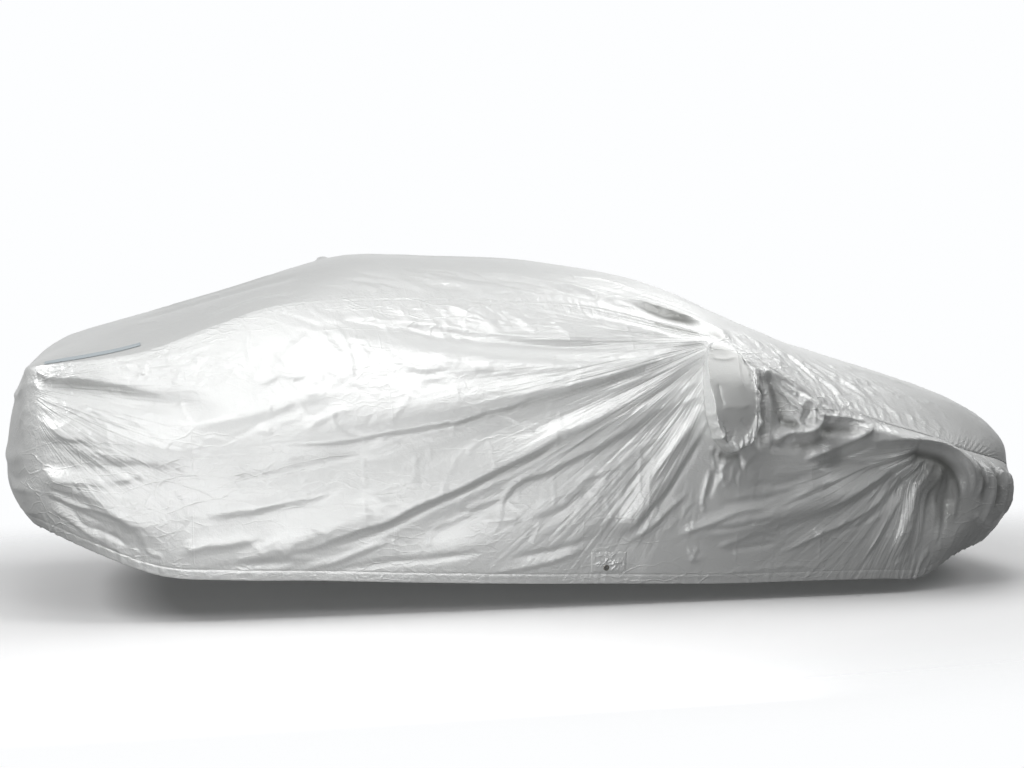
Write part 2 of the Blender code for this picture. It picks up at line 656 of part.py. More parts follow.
def make_eyelet(side, parts):
    """The metal ring: a turned section with a flange on each side of the patch."""
    place, outward = eyelet_place(side)
    inner = EYELET_HOLE / 2
    tube = EYELET_TUBE / 2 - SEAM_GAP
    flange = EYELET_FLANGE / 2
    back = CLOTH + PATCH_LIFT - SEAM_GAP
    front = CLOTH + PATCH_LIFT + CLOTH + SEAM_GAP
    outline = [
        (inner, back - FLANGE_THICK),
        (flange - 0.002, back - FLANGE_THICK),
        (flange - 0.002, back),
        (tube, back),
        (tube, front),
        (flange, front),
        (flange, front + 0.0005),
        (flange - 0.001, front + FLANGE_THICK),
        (inner, front + FLANGE_THICK),
    ]
    bm = bmesh.new()
    verts = [bm.verts.new((radius, 0, height)) for radius, height in outline]
    for k in range(len(verts)):
        bm.edges.new((verts[k - 1], verts[k]))
    ring = object_from(bm, f"eyelet_{side.name}", parts, "plated_steel")
    turn = ring.modifiers.new("turn", "SCREW")
    turn.axis = "Z"
    turn.steps = EYELET_STEPS
    turn.render_steps = EYELET_STEPS
    turn.use_merge_vertices = True
    turn.merge_threshold = 0.00005
    turn.use_normal_calculate = True
    ring.matrix_world = facing(place, outward)
    return ring


def make_strip(side, parts, panel):
    """The narrow strip that lies on the centre panel beside the seam at the tail corner."""
    seam_girths = np.linspace(GIRTHS[TAIL_CORNER], GIRTHS[TAIL_CORNER] + 2 * STRIP_LENGTH, FINE_STEPS)
    seam = bare_wall(seam_girths, np.zeros_like(seam_girths))
    share = np.linspace(0, 1, STRIP_STEPS + 1)
    x = STRIP_START + STRIP_LENGTH * share
    from_seam = STRIP_FROM_SEAM[0] + (STRIP_FROM_SEAM[1] - STRIP_FROM_SEAM[0]) * share
    edge = np.interp(x, seam[:, 0], seam[:, 1]) - from_seam
    height = np.interp(x, seam[:, 0], seam[:, 2]) + STRIP_DROP
    points = np.empty((STRIP_STEPS + 1, 3, 3))
    for column, shift in enumerate((-0.5, 0.0, 0.5)):
        out = edge + shift * STRIP_WIDTH
        points[:, column] = outwards(side, np.stack([x, out, height], axis=1))
    bm = sheet_from(points)
    face_away(bm, Vector((STRIP_START, 0, 0)))
    strip = object_from(bm, f"reflective_strip_{side.name}", parts, "grey_strip")
    lay = strip.modifiers.new("lay_on_cloth", "SHRINKWRAP")
    lay.target = panel
    lay.wrap_method = "PROJECT"
    lay.wrap_mode = "ABOVE_SURFACE"
    lay.use_project_z = True
    lay.use_negative_direction = True
    lay.use_positive_direction = False
    lay.offset = STRIP_LIFT
    thicken(strip, STRIP_THICK, 1.0)
    return strip


def clear_scene():
    """Removes what the scene starts with."""
    for item in list(bpy.data.objects):
        bpy.data.objects.remove(item, do_unlink=True)


def main():
    """Builds the cover."""
    clear_scene()
    parts = new_collection("car_cover")
    cutters = new_collection("cutters")
    centre = make_centre_panel(parts)
    for side in SIDES:
        panel = make_side_panel(side, parts)
        make_mirror_bag(side, parts, cutters, panel)
        make_eyelet_patch(side, parts, cutters, panel)
        make_eyelet(side, parts)
        make_strip(side, parts, centre)


main()
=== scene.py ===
"""The looks of a fitted, silver-coated car cover, standing in the folds it takes over a saloon car.

Units are metres, and millimetres in the calls of soft, ridge and sharp. +X points to the car's front,
+Y to its left side and +Z up. A point on a side of the cover is (girth, z): girth runs along the
widest line of the car and is 0 beside the origin, so along the doors it is x. A point on the top is
(x, y). The larger creases are listed one by one, and zones and fans scatter the small ones with fixed
seeds.
"""

import logging
import math
from dataclasses import dataclass, field, replace
from enum import Enum
from functools import partial

import bmesh
import bpy
import numpy as np
from mathutils import Matrix, Vector


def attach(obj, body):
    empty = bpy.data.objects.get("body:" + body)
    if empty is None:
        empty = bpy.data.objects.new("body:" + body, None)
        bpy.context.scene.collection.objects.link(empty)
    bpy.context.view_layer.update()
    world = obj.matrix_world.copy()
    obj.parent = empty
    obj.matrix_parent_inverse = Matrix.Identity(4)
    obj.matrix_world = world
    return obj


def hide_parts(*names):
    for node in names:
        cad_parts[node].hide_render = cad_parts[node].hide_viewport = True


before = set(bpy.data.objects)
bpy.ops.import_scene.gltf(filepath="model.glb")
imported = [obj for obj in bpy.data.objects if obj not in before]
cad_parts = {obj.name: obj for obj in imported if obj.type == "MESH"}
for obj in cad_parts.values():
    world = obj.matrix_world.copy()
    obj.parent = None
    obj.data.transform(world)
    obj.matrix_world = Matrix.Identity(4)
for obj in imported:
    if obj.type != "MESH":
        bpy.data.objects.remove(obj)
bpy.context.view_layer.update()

LOG = logging.getLogger("car_cover")
BODY = "root"

CLOTH = 0.0015  # how far the cloth's face stands out from the solid form
INSIDE = (0, 0, 0.5)  # a point that every large piece faces away from
SEED = 20


class Side(Enum):
    """A side of the car, with the sign of its Y."""

    RIGHT = -1
    LEFT = 1

    @property
    def label(self) -> str:
        """The side's name as the pieces carry it."""
        return self.name.lower()

    @property
    def mirror(self) -> np.ndarray:
        """What turns (x, out, z) into (x, y, z) on this side."""
        return np.array([1.0, self.value, 1.0])


class Crest(Enum):
    """How a crease's top is shaped: the power in its cross-section."""

    SOFT = 2.0
    ROUND = 1.6
    SHARP = 1.25


# ---------- Curves ----------


def smooth_through(knots: np.ndarray, values: np.ndarray, at: np.ndarray) -> np.ndarray:
    """Reads a smooth curve through values at knots.

    Args:
        knots: Rising places along the curve.
        values: One row of values for each knot.
        at: Places to read.

    Returns:
        The values there, one row for each place.
    """
    knots, values = np.asarray(knots, float), np.asarray(values, float)
    at = np.clip(np.asarray(at, float), knots[0], knots[-1])
    steps = np.diff(knots)[:, None]
    chords = np.diff(values, axis=0) / steps
    slopes = np.empty_like(values)
    slopes[0], slopes[-1] = chords[0], chords[-1]
    slopes[1:-1] = (chords[:-1] * steps[1:] + chords[1:] * steps[:-1]) / (steps[1:] + steps[:-1])
    piece = np.clip(np.searchsorted(knots, at, side="right") - 1, 0, len(knots) - 2)
    length = steps[piece]
    u = ((at - knots[piece])[..., None]) / length
    start = values[piece] * (1 + 2 * u) * (1 - u) ** 2 + slopes[piece] * length * u * (1 - u) ** 2
    end = values[piece + 1] * u**2 * (3 - 2 * u) + slopes[piece + 1] * length * u**2 * (u - 1)
    return start + end


def nearest_on(curve: np.ndarray, x: np.ndarray, z: np.ndarray) -> tuple:
    """Finds the nearest place of a curve to each point.

    Args:
        curve: The curve's points.
        x: The points' first coordinate.
        z: Their second coordinate.

    Returns:
        The distance, the distance to the right of the curve, and the share of the curve's length.
    """
    nearest = np.full(np.shape(x), np.inf)
    side, place = np.zeros(np.shape(x)), np.zeros(np.shape(x))
    steps = np.diff(curve, axis=0)
    lengths = np.maximum(np.linalg.norm(steps, axis=1), 1e-9)
    starts = np.concatenate([[0.0], np.cumsum(lengths)])
    for k, (step, length) in enumerate(zip(steps, lengths)):
        way = step / length
        dx, dz = x - curve[k, 0], z - curve[k, 1]
        run = np.clip(dx * way[0] + dz * way[1], 0, length)
        gap = np.hypot(dx - run * way[0], dz - run * way[1])
        closer = gap < nearest
        nearest = np.where(closer, gap, nearest)
        side = np.where(closer, way[1] * dx - way[0] * dz, side)
        place = np.where(closer, (starts[k] + run) / starts[-1], place)
    return nearest, side, place


def smoothstep(low: float, high: float, x: np.ndarray) -> np.ndarray:
    """Rises from 0 at low to 1 at high."""
    u = np.clip((x - low) / (high - low), 0.0, 1.0)
    return u * u * (3 - 2 * u)


def bell(x: np.ndarray, width: float, power: float = 2.0) -> np.ndarray:
    """1 where x is 0, falling to about a third at a width to either side."""
    return np.exp(-(np.abs(x / width) ** power))


def linear(hex_colour: str) -> tuple[float, float, float, float]:
    """Turns an sRGB hex value to linear RGBA."""
    parts = [int(hex_colour[k : k + 2], 16) / 255 for k in (1, 3, 5)]
    return (*[c / 12.92 if c <= 0.04045 else ((c + 0.055) / 1.055) ** 2.4 for c in parts], 1.0)


# ---------- Creases ----------

CREASE_STEP = 0.02  # between the points that a crease's curve is read at


@dataclass(frozen=True)
class Crease:
    """A ridge, or a trough where height is negative, along a curve through a few points.

    Attributes:
        path: Points on the cloth's own plane.
        width: Half-width, where the ridge has fallen to about a third.
        height: How far it stands out.
        steep: From 0 to 0.9, how much narrower the lower or front side is than the other.
        crest: The shape of its top.
        fade: The share of its length over which it rises and falls at its start and its end.
    """

    path: tuple
    width: float
    height: float
    steep: float = 0.0
    crest: Crest = Crest.ROUND
    fade: tuple = (0.18, 0.25)

    def curve(self) -> np.ndarray:
        """The points of the curve, about a step apart."""
        points = np.array(self.path, float)
        along = np.concatenate([[0.0], np.cumsum(np.linalg.norm(np.diff(points, axis=0), axis=1))])
        count = max(3, int(along[-1] / CREASE_STEP) + 1)
        return smooth_through(along, points, np.linspace(0, along[-1], count))

    def add_to(self, total: np.ndarray, across: np.ndarray, up: np.ndarray) -> None:
        """Adds the crease's height to the points that it reaches.

        Args:
            total: Flat array of heights, which is changed.
            across: The points' first coordinate, flat.
            up: Their second coordinate, flat.
        """
        curve = self.curve()
        reach = 2.6 * self.width * (1 + abs(self.steep))
        low, high = curve.min(0) - reach, curve.max(0) + reach
        near = np.flatnonzero(
            (across > low[0]) & (across < high[0]) & (up > low[1]) & (up < high[1])
        )
        if not len(near):
            return
        gap, side, place = nearest_on(curve, across[near], up[near])
        forward = curve[-1] - curve[0]
        if 0.35 * forward[1] + forward[0] < 0:
            side = -side
        width = self.width * np.where(side > 0, 1 - self.steep, 1 + self.steep)
        rise = smoothstep(-0.01, self.fade[0], place) * smoothstep(-0.01, self.fade[1], 1 - place)
        width = width * (0.55 + 0.45 * rise)
        total[near] += self.height * rise * bell(gap, width, self.crest.value)


def soft(width: float, height: float, *path: float, crest: Crest = Crest.SOFT, **shape) -> Crease:
    """A crease with a soft top, given in millimetres.

    Args:
        width: Its half-width.
        height: How far it stands out, or how deep it is where this is negative.
        path: The first and the second coordinate of each point that it runs through, in turn.
        crest: The shape of its top.
        shape: Its steep and its fade, where they aren't the usual ones.
    """
    points = tuple(zip([x / 1000 for x in path[::2]], [z / 1000 for z in path[1::2]]))
    return Crease(points, width / 1000, height / 1000, crest=crest, **shape)


ridge = partial(soft, crest=Crest.ROUND)
sharp = partial(soft, crest=Crest.SHARP)


def heights(creases: list[Crease], across: np.ndarray, up: np.ndarray) -> np.ndarray:
    """The summed height of the creases at points of the cloth."""
    total = np.zeros(across.size)
    flat_across, flat_up = across.ravel(), up.ravel()
    for crease in creases:
        crease.add_to(total, flat_across, flat_up)
    return total.reshape(across.shape)


@dataclass(frozen=True)
class CrumpleZone:
    """A patch of small creases that run about one way.

    Attributes:
        middle: Its middle on the cloth's plane.
        reach: Its half-size each way.
        count: How many creases.
        length: Their usual length.
        width: Their usual half-width.
        height: Their usual height.
        angle: The way they run, in degrees from the first axis.
        spread: How far they stray from it, in degrees.
    """

    middle: tuple
    reach: tuple
    count: int
    length: float
    width: float
    height: float
    angle: float
    spread: float

    def creases(self, seed: int) -> list[Crease]:
        """The zone's creases, the same for the same seed."""
        rng = np.random.default_rng(seed)
        made = []
        for _ in range(self.count):
            middle = np.array(self.middle) + np.array(self.reach) * rng.normal(0, 0.5, 2)
            angle = math.radians(self.angle + rng.normal(0, self.spread))
            half = self.length * rng.uniform(0.3, 0.8)
            way = np.array([math.cos(angle), math.sin(angle)]) * half
            kink = np.array([-way[1], way[0]]) * rng.normal(0, 0.22)
            size = rng.uniform(0.5, 1.5)
            path = (tuple(middle - way), tuple(middle + kink), tuple(middle + way))
            width, height = self.width * (0.6 + 0.4 * size), self.height * size * rng.choice([-0.8, 1.0, 1.0])
            made.append(Crease(path, width, height, rng.uniform(0, 0.6), Crest.SHARP, fade=(0.3, 0.4)))
        return made


@dataclass(frozen=True)
class Fan:
    """Fine ridges that spread from a point where the cloth is pulled.

    Attributes:
        apex: The point, on the cloth's plane.
        angles: The first and the last way they run, in degrees from the first axis.
        starts: The nearest and the farthest that one starts from the point.
        lengths: The shortest and the longest.
        count: How many.
        width: Their usual half-width.
        height: Their usual height.
    """

    apex: tuple
    angles: tuple
    starts: tuple
    lengths: tuple
    count: int
    width: float
    height: float

    def creases(self, seed: int) -> list[Crease]:
        """The fan's ridges, the same for the same seed."""
        rng = np.random.default_rng(seed)
        made = []
        for k in range(self.count):
            share = (k + rng.uniform(0.1, 0.9)) / self.count
            angle = math.radians(self.angles[0] + (self.angles[1] - self.angles[0]) * share)
            start, length = rng.uniform(*self.starts), rng.uniform(*self.lengths)
            bend, points = rng.normal(0, 0.10), []
            for part in (0.0, 0.33, 0.67, 1.0):
                turned = angle + bend * part * part
                reach = start + length * part
                x, z = self.apex[0] + reach * math.cos(turned), self.apex[1] + reach * math.sin(turned)
                points.append((x, z))
            size = rng.uniform(0.6, 1.3)
            width, height = self.width * (0.6 + 0.4 * size), self.height * size * rng.choice([-0.8, 1.0])
            made.append(Crease(tuple(points), width, height, rng.uniform(0, 0.5), Crest.SHARP, (0.12, 0.6)))
        return made


def scattered(zones: list, seed: int) -> list[Crease]:
    """The creases of several zones or fans, each with a seed of its own."""
    return [crease for k, zone in enumerate(zones) for crease in zone.creases(seed + k)]


def shifted(creases: list[Crease], seed: int, slide: float, turn: float) -> list[Crease]:
    """The same kind of creases in other places and sizes, as the other side of the cover has them."""
    rng = np.random.default_rng(seed)
    made = []
    for crease in creases:
        path = np.array(crease.path)
        middle = path.mean(0)
        angle = math.radians(rng.normal(0, turn))
        rotate = np.array([[math.cos(angle), -math.sin(angle)], [math.sin(angle), math.cos(angle)]])
        size = rng.uniform(0.75, 1.1)
        moved = (path - middle) @ rotate.T * size + middle + rng.normal(0, slide, 2) * (1.0, 0.6)
        width, height = crease.width * rng.uniform(0.9, 1.3), crease.height * rng.uniform(0.5, 0.95)
        made.append(replace(crease, path=tuple(map(tuple, moved)), width=width, height=height,
                            steep=crease.steep * 0.8))
    return made


# ---------- The car's form under the cloth ----------


@dataclass(frozen=True)
class Section:
    """One upright line down the side: its points (x, out from the middle, z) at three levels."""

    seam: tuple
    waist: tuple
    hem: tuple


SECTIONS = (
    Section((-2.175, 0.000, 0.905), (-2.250, 0.000, 0.500), (-2.160, 0.000, 0.300)),  # tail centre
    Section((-2.165, 0.420, 0.912), (-2.232, 0.440, 0.500), (-2.145, 0.420, 0.300)),
    Section((-2.110, 0.735, 0.925), (-2.108, 0.795, 0.510), (-2.060, 0.760, 0.295)),  # tail corner
    Section((-1.930, 0.800, 0.940), (-1.930, 0.885, 0.505), (-1.900, 0.850, 0.225)),
    Section((-1.720, 0.780, 0.975), (-1.690, 0.918, 0.500), (-1.670, 0.880, 0.135)),
    Section((-1.450, 0.715, 1.075), (-1.400, 0.925, 0.500), (-1.400, 0.890, 0.108)),
    Section((-1.200, 0.670, 1.155), (-1.100, 0.925, 0.500), (-1.100, 0.890, 0.095)),
    Section((-0.800, 0.635, 1.185), (-0.750, 0.925, 0.480), (-0.750, 0.890, 0.075)),
    Section((-0.250, 0.620, 1.180), (-0.250, 0.925, 0.460), (-0.250, 0.890, 0.050)),
    Section((0.120, 0.650, 1.156), (0.150, 0.925, 0.450), (0.150, 0.890, 0.035)),
    Section((0.350, 0.715, 1.100), (0.380, 0.925, 0.450), (0.380, 0.890, 0.026)),
    Section((0.610, 0.790, 1.032), (0.620, 0.930, 0.450), (0.620, 0.890, 0.018)),  # mirror
    Section((0.850, 0.835, 0.905), (0.850, 0.925, 0.450), (0.850, 0.890, 0.0155)),
    Section((1.070, 0.865, 0.775), (1.080, 0.925, 0.430), (1.080, 0.890, 0.0135)),
    Section((1.320, 0.875, 0.680), (1.320, 0.920, 0.400), (1.320, 0.885, 0.0095)),
    Section((1.550, 0.840, 0.617), (1.590, 0.905, 0.400), (1.520, 0.860, 0.0060)),
    Section((1.770, 0.770, 0.545), (1.870, 0.845, 0.385), (1.740, 0.775, 0.090)),
    Section((2.000, 0.632, 0.492), (2.060, 0.680, 0.360), (1.960, 0.590, 0.107)),  # nose corner
    Section((2.205, 0.410, 0.440), (2.190, 0.430, 0.320), (2.080, 0.390, 0.105)),
    Section((2.262, 0.000, 0.405), (2.250, 0.000, 0.310), (2.150, 0.000, 0.105)),  # nose centre
)
TAIL_CORNER = 2
NOSE_CORNER = 17

# The middle of the top, level with a point of the seam: (x of the seam, x, z)
SPINE = (
    (-2.110, -2.175, 0.905),
    (-2.070, -2.125, 0.965),
    (-2.010, -2.035, 1.028),
    (-1.940, -1.950, 1.062),
    (-1.830, -1.830, 1.098),
    (-1.620, -1.620, 1.158),
    (-1.340, -1.340, 1.242),
    (-1.060, -1.060, 1.337),
    (-0.900, -0.900, 1.382),
    (-0.476, -0.476, 1.392),
    (-0.170, -0.170, 1.386),
    (0.163, 0.163, 1.353),
    (0.320, 0.320, 1.328),
    (0.477, 0.477, 1.291),
    (0.604, 0.604, 1.245),
    (0.752, 0.752, 1.183),
    (0.946, 0.946, 1.107),
    (1.210, 1.220, 1.000),
    (1.450, 1.546, 0.900),
    (1.600, 1.800, 0.825),
    (1.770, 2.025, 0.745),
    (1.860, 2.150, 0.665),
    (1.935, 2.238, 0.545),
    (2.000, 2.262, 0.405),
)


@dataclass(frozen=True)
class MainFold:
    """One of the cover's main folds, as its solids have them: a bow through three points."""

    start: tuple
    middle: tuple
    end: tuple
    width_start: float
    width_end: float
    rise: float
    skew: float

    def height(self, across: np.ndarray, up: np.ndarray) -> np.ndarray:
        """Its height at points of the cloth's plane."""
        start, middle, end = (np.array(p) for p in (self.start, self.middle, self.end))
        control = 2 * middle - (start + end) / 2
        u = np.linspace(0, 1, 33)[:, None]
        curve = (1 - u) ** 2 * start + 2 * u * (1 - u) * control + u * u * end
        gap, side, place = nearest_on(curve, across, up)
        upward = -side if end[0] >= start[0] else side
        width = self.width_start + (self.width_end - self.width_start) * place
        width = width * (1 + self.skew * np.tanh(upward / 0.008))
        fade = smoothstep(-0.02, 0.18, place) * smoothstep(-0.02, 0.30, 1 - place)
        return self.rise * fade * bell(gap, width)


RIGHT_MAIN = (
    MainFold((0.46, 0.980), (0.02, 0.985), (-0.97, 1.120), 0.045, 0.055, -0.022, 0.0),
    MainFold((0.52, 0.950), (0.05, 0.915), (-0.80, 0.950), 0.040, 0.070, 0.014, 0.2),
    MainFold((0.50, 0.930), (-0.30, 0.795), (-1.50, 0.590), 0.045, 0.095, 0.016, 0.3),
    MainFold((0.48, 0.860), (-0.30, 0.680), (-1.35, 0.460), 0.045, 0.095, -0.011, 0.0),
    MainFold((0.46, 0.820), (-0.16, 0.600), (-1.33, 0.160), 0.045, 0.090, 0.014, 0.3),
    MainFold((0.45, 0.740), (-0.10, 0.490), (-0.85, 0.180), 0.040, 0.070, -0.013, 0.0),
    MainFold((0.47, 0.720), (0.27, 0.420), (0.13, 0.200), 0.042, 0.050, 0.020, 0.0),
    MainFold((0.80, 0.900), (0.84, 0.740), (0.81, 0.580), 0.050, 0.055, -0.050, 0.0),
    MainFold((0.95, 0.800), (1.00, 0.690), (0.95, 0.580), 0.050, 0.050, 0.028, 0.0),
    MainFold((1.02, 0.570), (1.44, 0.420), (1.76, 0.220), 0.085, 0.110, -0.072, -0.35),
    MainFold((1.10, 0.620), (1.50, 0.590), (1.84, 0.360), 0.052, 0.048, 0.026, 0.0),
    MainFold((1.50, 0.500), (0.95, 0.330), (0.42, 0.230), 0.045, 0.050, 0.026, 0.2),
    MainFold((1.58, 0.470), (1.47, 0.290), (1.38, 0.080), 0.042, 0.045, 0.024, 0.0),
    MainFold((-2.12, 0.865), (-1.75, 0.800), (-1.40, 0.800), 0.045, 0.055, -0.026, 0.0),
    MainFold((-2.13, 0.690), (-1.85, 0.620), (-1.50, 0.580), 0.045, 0.060, 0.020, 0.2),
    MainFold((-2.13, 0.500), (-1.90, 0.440), (-1.68, 0.240), 0.045, 0.055, 0.020, 0.2),
)

LEFT_MAIN = (
    MainFold((0.46, 0.980), (0.00, 0.975), (-0.90, 1.080), 0.045, 0.060, -0.026, 0.0),
    MainFold((0.50, 0.930), (-0.25, 0.830), (-1.30, 0.690), 0.045, 0.080, 0.034, 0.3),
    MainFold((0.47, 0.840), (-0.25, 0.650), (-1.20, 0.340), 0.045, 0.085, 0.026, 0.3),
    MainFold((0.46, 0.760), (-0.05, 0.490), (-0.70, 0.200), 0.042, 0.070, -0.022, 0.0),
    MainFold((0.48, 0.700), (0.30, 0.420), (0.16, 0.210), 0.042, 0.045, 0.028, 0.0),
    MainFold((0.80, 0.890), (0.84, 0.740), (0.80, 0.590), 0.050, 0.055, -0.048, 0.0),
    MainFold((1.05, 0.580), (1.40, 0.420), (1.72, 0.230), 0.090, 0.110, -0.055, -0.35),
    MainFold((1.50, 0.500), (1.00, 0.350), (0.50, 0.250), 0.045, 0.050, 0.024, 0.2),
    MainFold((1.56, 0.460), (1.44, 0.290), (1.32, 0.090), 0.042, 0.045, 0.022, 0.0),
    MainFold((-2.12, 0.850), (-1.80, 0.790), (-1.38, 0.770), 0.045, 0.055, -0.024, 0.0),
    MainFold((-2.13, 0.590), (-1.80, 0.530), (-1.45, 0.470), 0.045, 0.060, 0.022, 0.2),
    MainFold((-2.12, 0.430), (-1.90, 0.330), (-1.65, 0.230), 0.045, 0.055, 0.018, 0.2),
)

TOP_MAIN = (
    MainFold((-0.96, 0.00), (-0.935, 0.00), (-0.91, 0.00), 0.050, 0.050, 0.012, 0.0),
    MainFold((-1.05, 0.42), (-1.45, 0.28), (-1.85, 0.22), 0.050, 0.060, -0.014, 0.0),
    MainFold((-1.05, -0.40), (-1.40, -0.30), (-1.80, -0.34), 0.050, 0.060, -0.012, 0.0),
    MainFold((0.55, -0.45), (0.95, -0.30), (1.25, -0.42), 0.050, 0.060, -0.012, 0.0),
    MainFold((0.60, 0.40), (1.00, 0.34), (1.30, 0.48), 0.050, 0.060, -0.012, 0.0),
    MainFold((1.30, -0.10), (1.65, 0.00), (1.95, -0.06), 0.050, 0.060, -0.008, 0.0),
)


@dataclass(frozen=True)
class Eyelet:
    """The eyelet and its patch, on the side above the hem.

    Attributes:
        girth: Where its middle is along the side.
        height: How high its middle is.
        flange: The metal ring's outer diameter.
        tube: The diameter of its barrel.
        patch: The patch's length and height.
        patch_shift: From the eyelet's middle to the patch's.
        lift: The gap between the side panel and the patch.
        flat_within: How far from the patch's middle the side's folds stay clear of it.
    """

    girth: float = 0.095
    height: float = 0.103
    flange: float = 0.025
    tube: float = 0.0146
    patch: tuple = (0.150, 0.084)
    patch_shift: tuple = (0.010, 0.022)
    lift: float = 0.0009
    flat_within: float = 0.13

    @property
    def patch_middle(self) -> tuple[float, float]:
        """The middle of the patch, in (girth, z)."""
        return self.girth + self.patch_shift[0], self.height + self.patch_shift[1]

    def gap(self, girth: np.ndarray, z: np.ndarray) -> np.ndarray:
        """How far points of the side are from the eyelet's middle."""
        return np.hypot(girth - self.girth, z - self.height)


EYELET = Eyelet()


@dataclass
class CarForm:
    """The car's outline as the cloth lies over it, without creases."""

    upper_power: float = 2.4
    lower_power: float = 2.0
    crown_power: float = 2.3
    nose_fullness: float = 0.7
    seam_fade: float = 0.07
    hem_fade: float = 0.05
    hem_share: float = 0.35
    tent_centre: tuple = (0.60, 0.82)
    tent_rise: float = 0.062
    tent_reach: tuple = (0.20, 0.62, 0.22, 0.42)  # ahead, behind, above, below
    slope_step: float = 0.004
    girths: np.ndarray = field(init=False)
    levels: np.ndarray = field(init=False)

    def __post_init__(self) -> None:
        """Measures the girth of each section along the waist line."""
        waist = np.array([section.waist[:2] for section in SECTIONS])
        along = np.concatenate([[0.0], np.cumsum(np.linalg.norm(np.diff(waist, axis=0), axis=1))])
        side = slice(TAIL_CORNER, NOSE_CORNER + 1)
        self.girths = along - np.interp(0.0, waist[side, 0], along[side])
        self.levels = np.array([[*s.seam, *s.waist, *s.hem] for s in SECTIONS])

    @property
    def tail_corner(self) -> float:
        """The girth of the tail corner."""
        return float(self.girths[TAIL_CORNER])

    @property
    def nose_corner(self) -> float:
        """The girth of the nose corner."""
        return float(self.girths[NOSE_CORNER])

    def edges(self, girth: np.ndarray) -> tuple[np.ndarray, np.ndarray]:
        """The heights of the seam and the hem."""
        level = smooth_through(self.girths, self.levels, girth)
        return level[..., 2], level[..., 8]

    def v_at(self, girth: np.ndarray, z: np.ndarray) -> np.ndarray:
        """How far down from the seam, 0, to the hem, 1, a height is."""
        seam, hem = self.edges(girth)
        return (seam - z) / (seam - hem)

    def bare(self, girth: np.ndarray, v: np.ndarray) -> np.ndarray:
        """Points (x, out, z) of the side without folds; v runs from the seam, 0, to the hem, 1."""
        level = smooth_through(self.girths, self.levels, girth)
        seam, waist, hem = level[..., 0:3], level[..., 3:6], level[..., 6:9]
        z = seam[..., 2] + (hem[..., 2] - seam[..., 2]) * v
        above = np.clip((z - waist[..., 2]) / (seam[..., 2] - waist[..., 2]), 0, 1)
        below = np.clip((waist[..., 2] - z) / (waist[..., 2] - hem[..., 2]), 0, 1)
        plan = waist[..., :2] + (seam - waist)[..., :2] * (above**self.upper_power)[..., None]
        plan = plan + (hem - waist)[..., :2] * (below**self.lower_power)[..., None]
        return np.concatenate([plan, z[..., None]], axis=-1)

    def tent(self, girth: np.ndarray, z: np.ndarray) -> np.ndarray:
        """How far the mirror pushes the cloth out."""
        ahead, behind, over, under = self.tent_reach
        along, rise = girth - self.tent_centre[0], z - self.tent_centre[1]
        along = along / np.where(along > 0, ahead, behind)
        rise = rise / np.where(rise > 0, over, under)
        return self.tent_rise * bell(np.hypot(along, rise), 1.0, 1.5)

    def wall(self, folds: tuple, girth: np.ndarray, v: np.ndarray) -> tuple:
        """Points of the side in its main folds.

        Args:
            folds: The side's main folds.
            girth: Girth of each point.
            v: How far down each point is.

        Returns:
            The points (x, out, z), and the outward direction at each.
        """
        girth, v = np.broadcast_arrays(np.asarray(girth, float), np.asarray(v, float))
        step = self.slope_step
        low = np.clip(girth - step, self.girths[0], self.girths[-1])
        high = np.clip(girth + step, self.girths[0], self.girths[-1])
        forward = self.bare(high, v) - self.bare(low, v)
        down = self.bare(girth, np.clip(v + step, 0, 1)) - self.bare(girth, np.clip(v - step, 0, 1))
        outward = np.cross(forward, down)
        outward /= np.linalg.norm(outward, axis=-1, keepdims=True)
        point = self.bare(girth, v)
        z = point[..., 2]
        seam_z, hem_z = self.edges(girth)
        calm = smoothstep(0, self.seam_fade, seam_z - z) * self.clear_of_patch(girth, z)
        calm = calm * (self.hem_share + (1 - self.hem_share) * smoothstep(0, self.hem_fade, z - hem_z))
        height = self.tent(girth, z) + sum(fold.height(girth, z) for fold in folds)
        return point + outward * (height * calm)[..., None], outward

    @staticmethod
    def clear_of_patch(girth: np.ndarray, z: np.ndarray) -> np.ndarray:
        """0 on the eyelet's patch, 1 away from it."""
        middle = EYELET.patch_middle
        gap = np.hypot(girth - middle[0], z - middle[1])
        return smoothstep(EYELET.flat_within - 0.04, EYELET.flat_within + 0.06, gap)

    def end_girths(self, first: float, last: float, share: np.ndarray) -> np.ndarray:
        """Girths round one end of the car at shares of the way from its middle to its corner."""
        fine = np.linspace(first, last, 400)
        out = self.bare(fine, np.zeros_like(fine))[:, 1]
        order = np.argsort(out)
        return np.interp(share * out.max(), out[order], fine[order])

    def run_at(self, girth: np.ndarray) -> np.ndarray:
        """How far along the top a row of the centre panel is, as its solid counts its rows."""
        rows = [self.tail_corner]
        while rows[-1] < self.nose_corner - 0.046:
            rows.append(rows[-1] + (0.056 if 0.25 < rows[-1] < 1.15 else 0.092))
        rows[-1] = self.nose_corner
        return np.interp(girth, rows, np.linspace(0, 1, len(rows)))

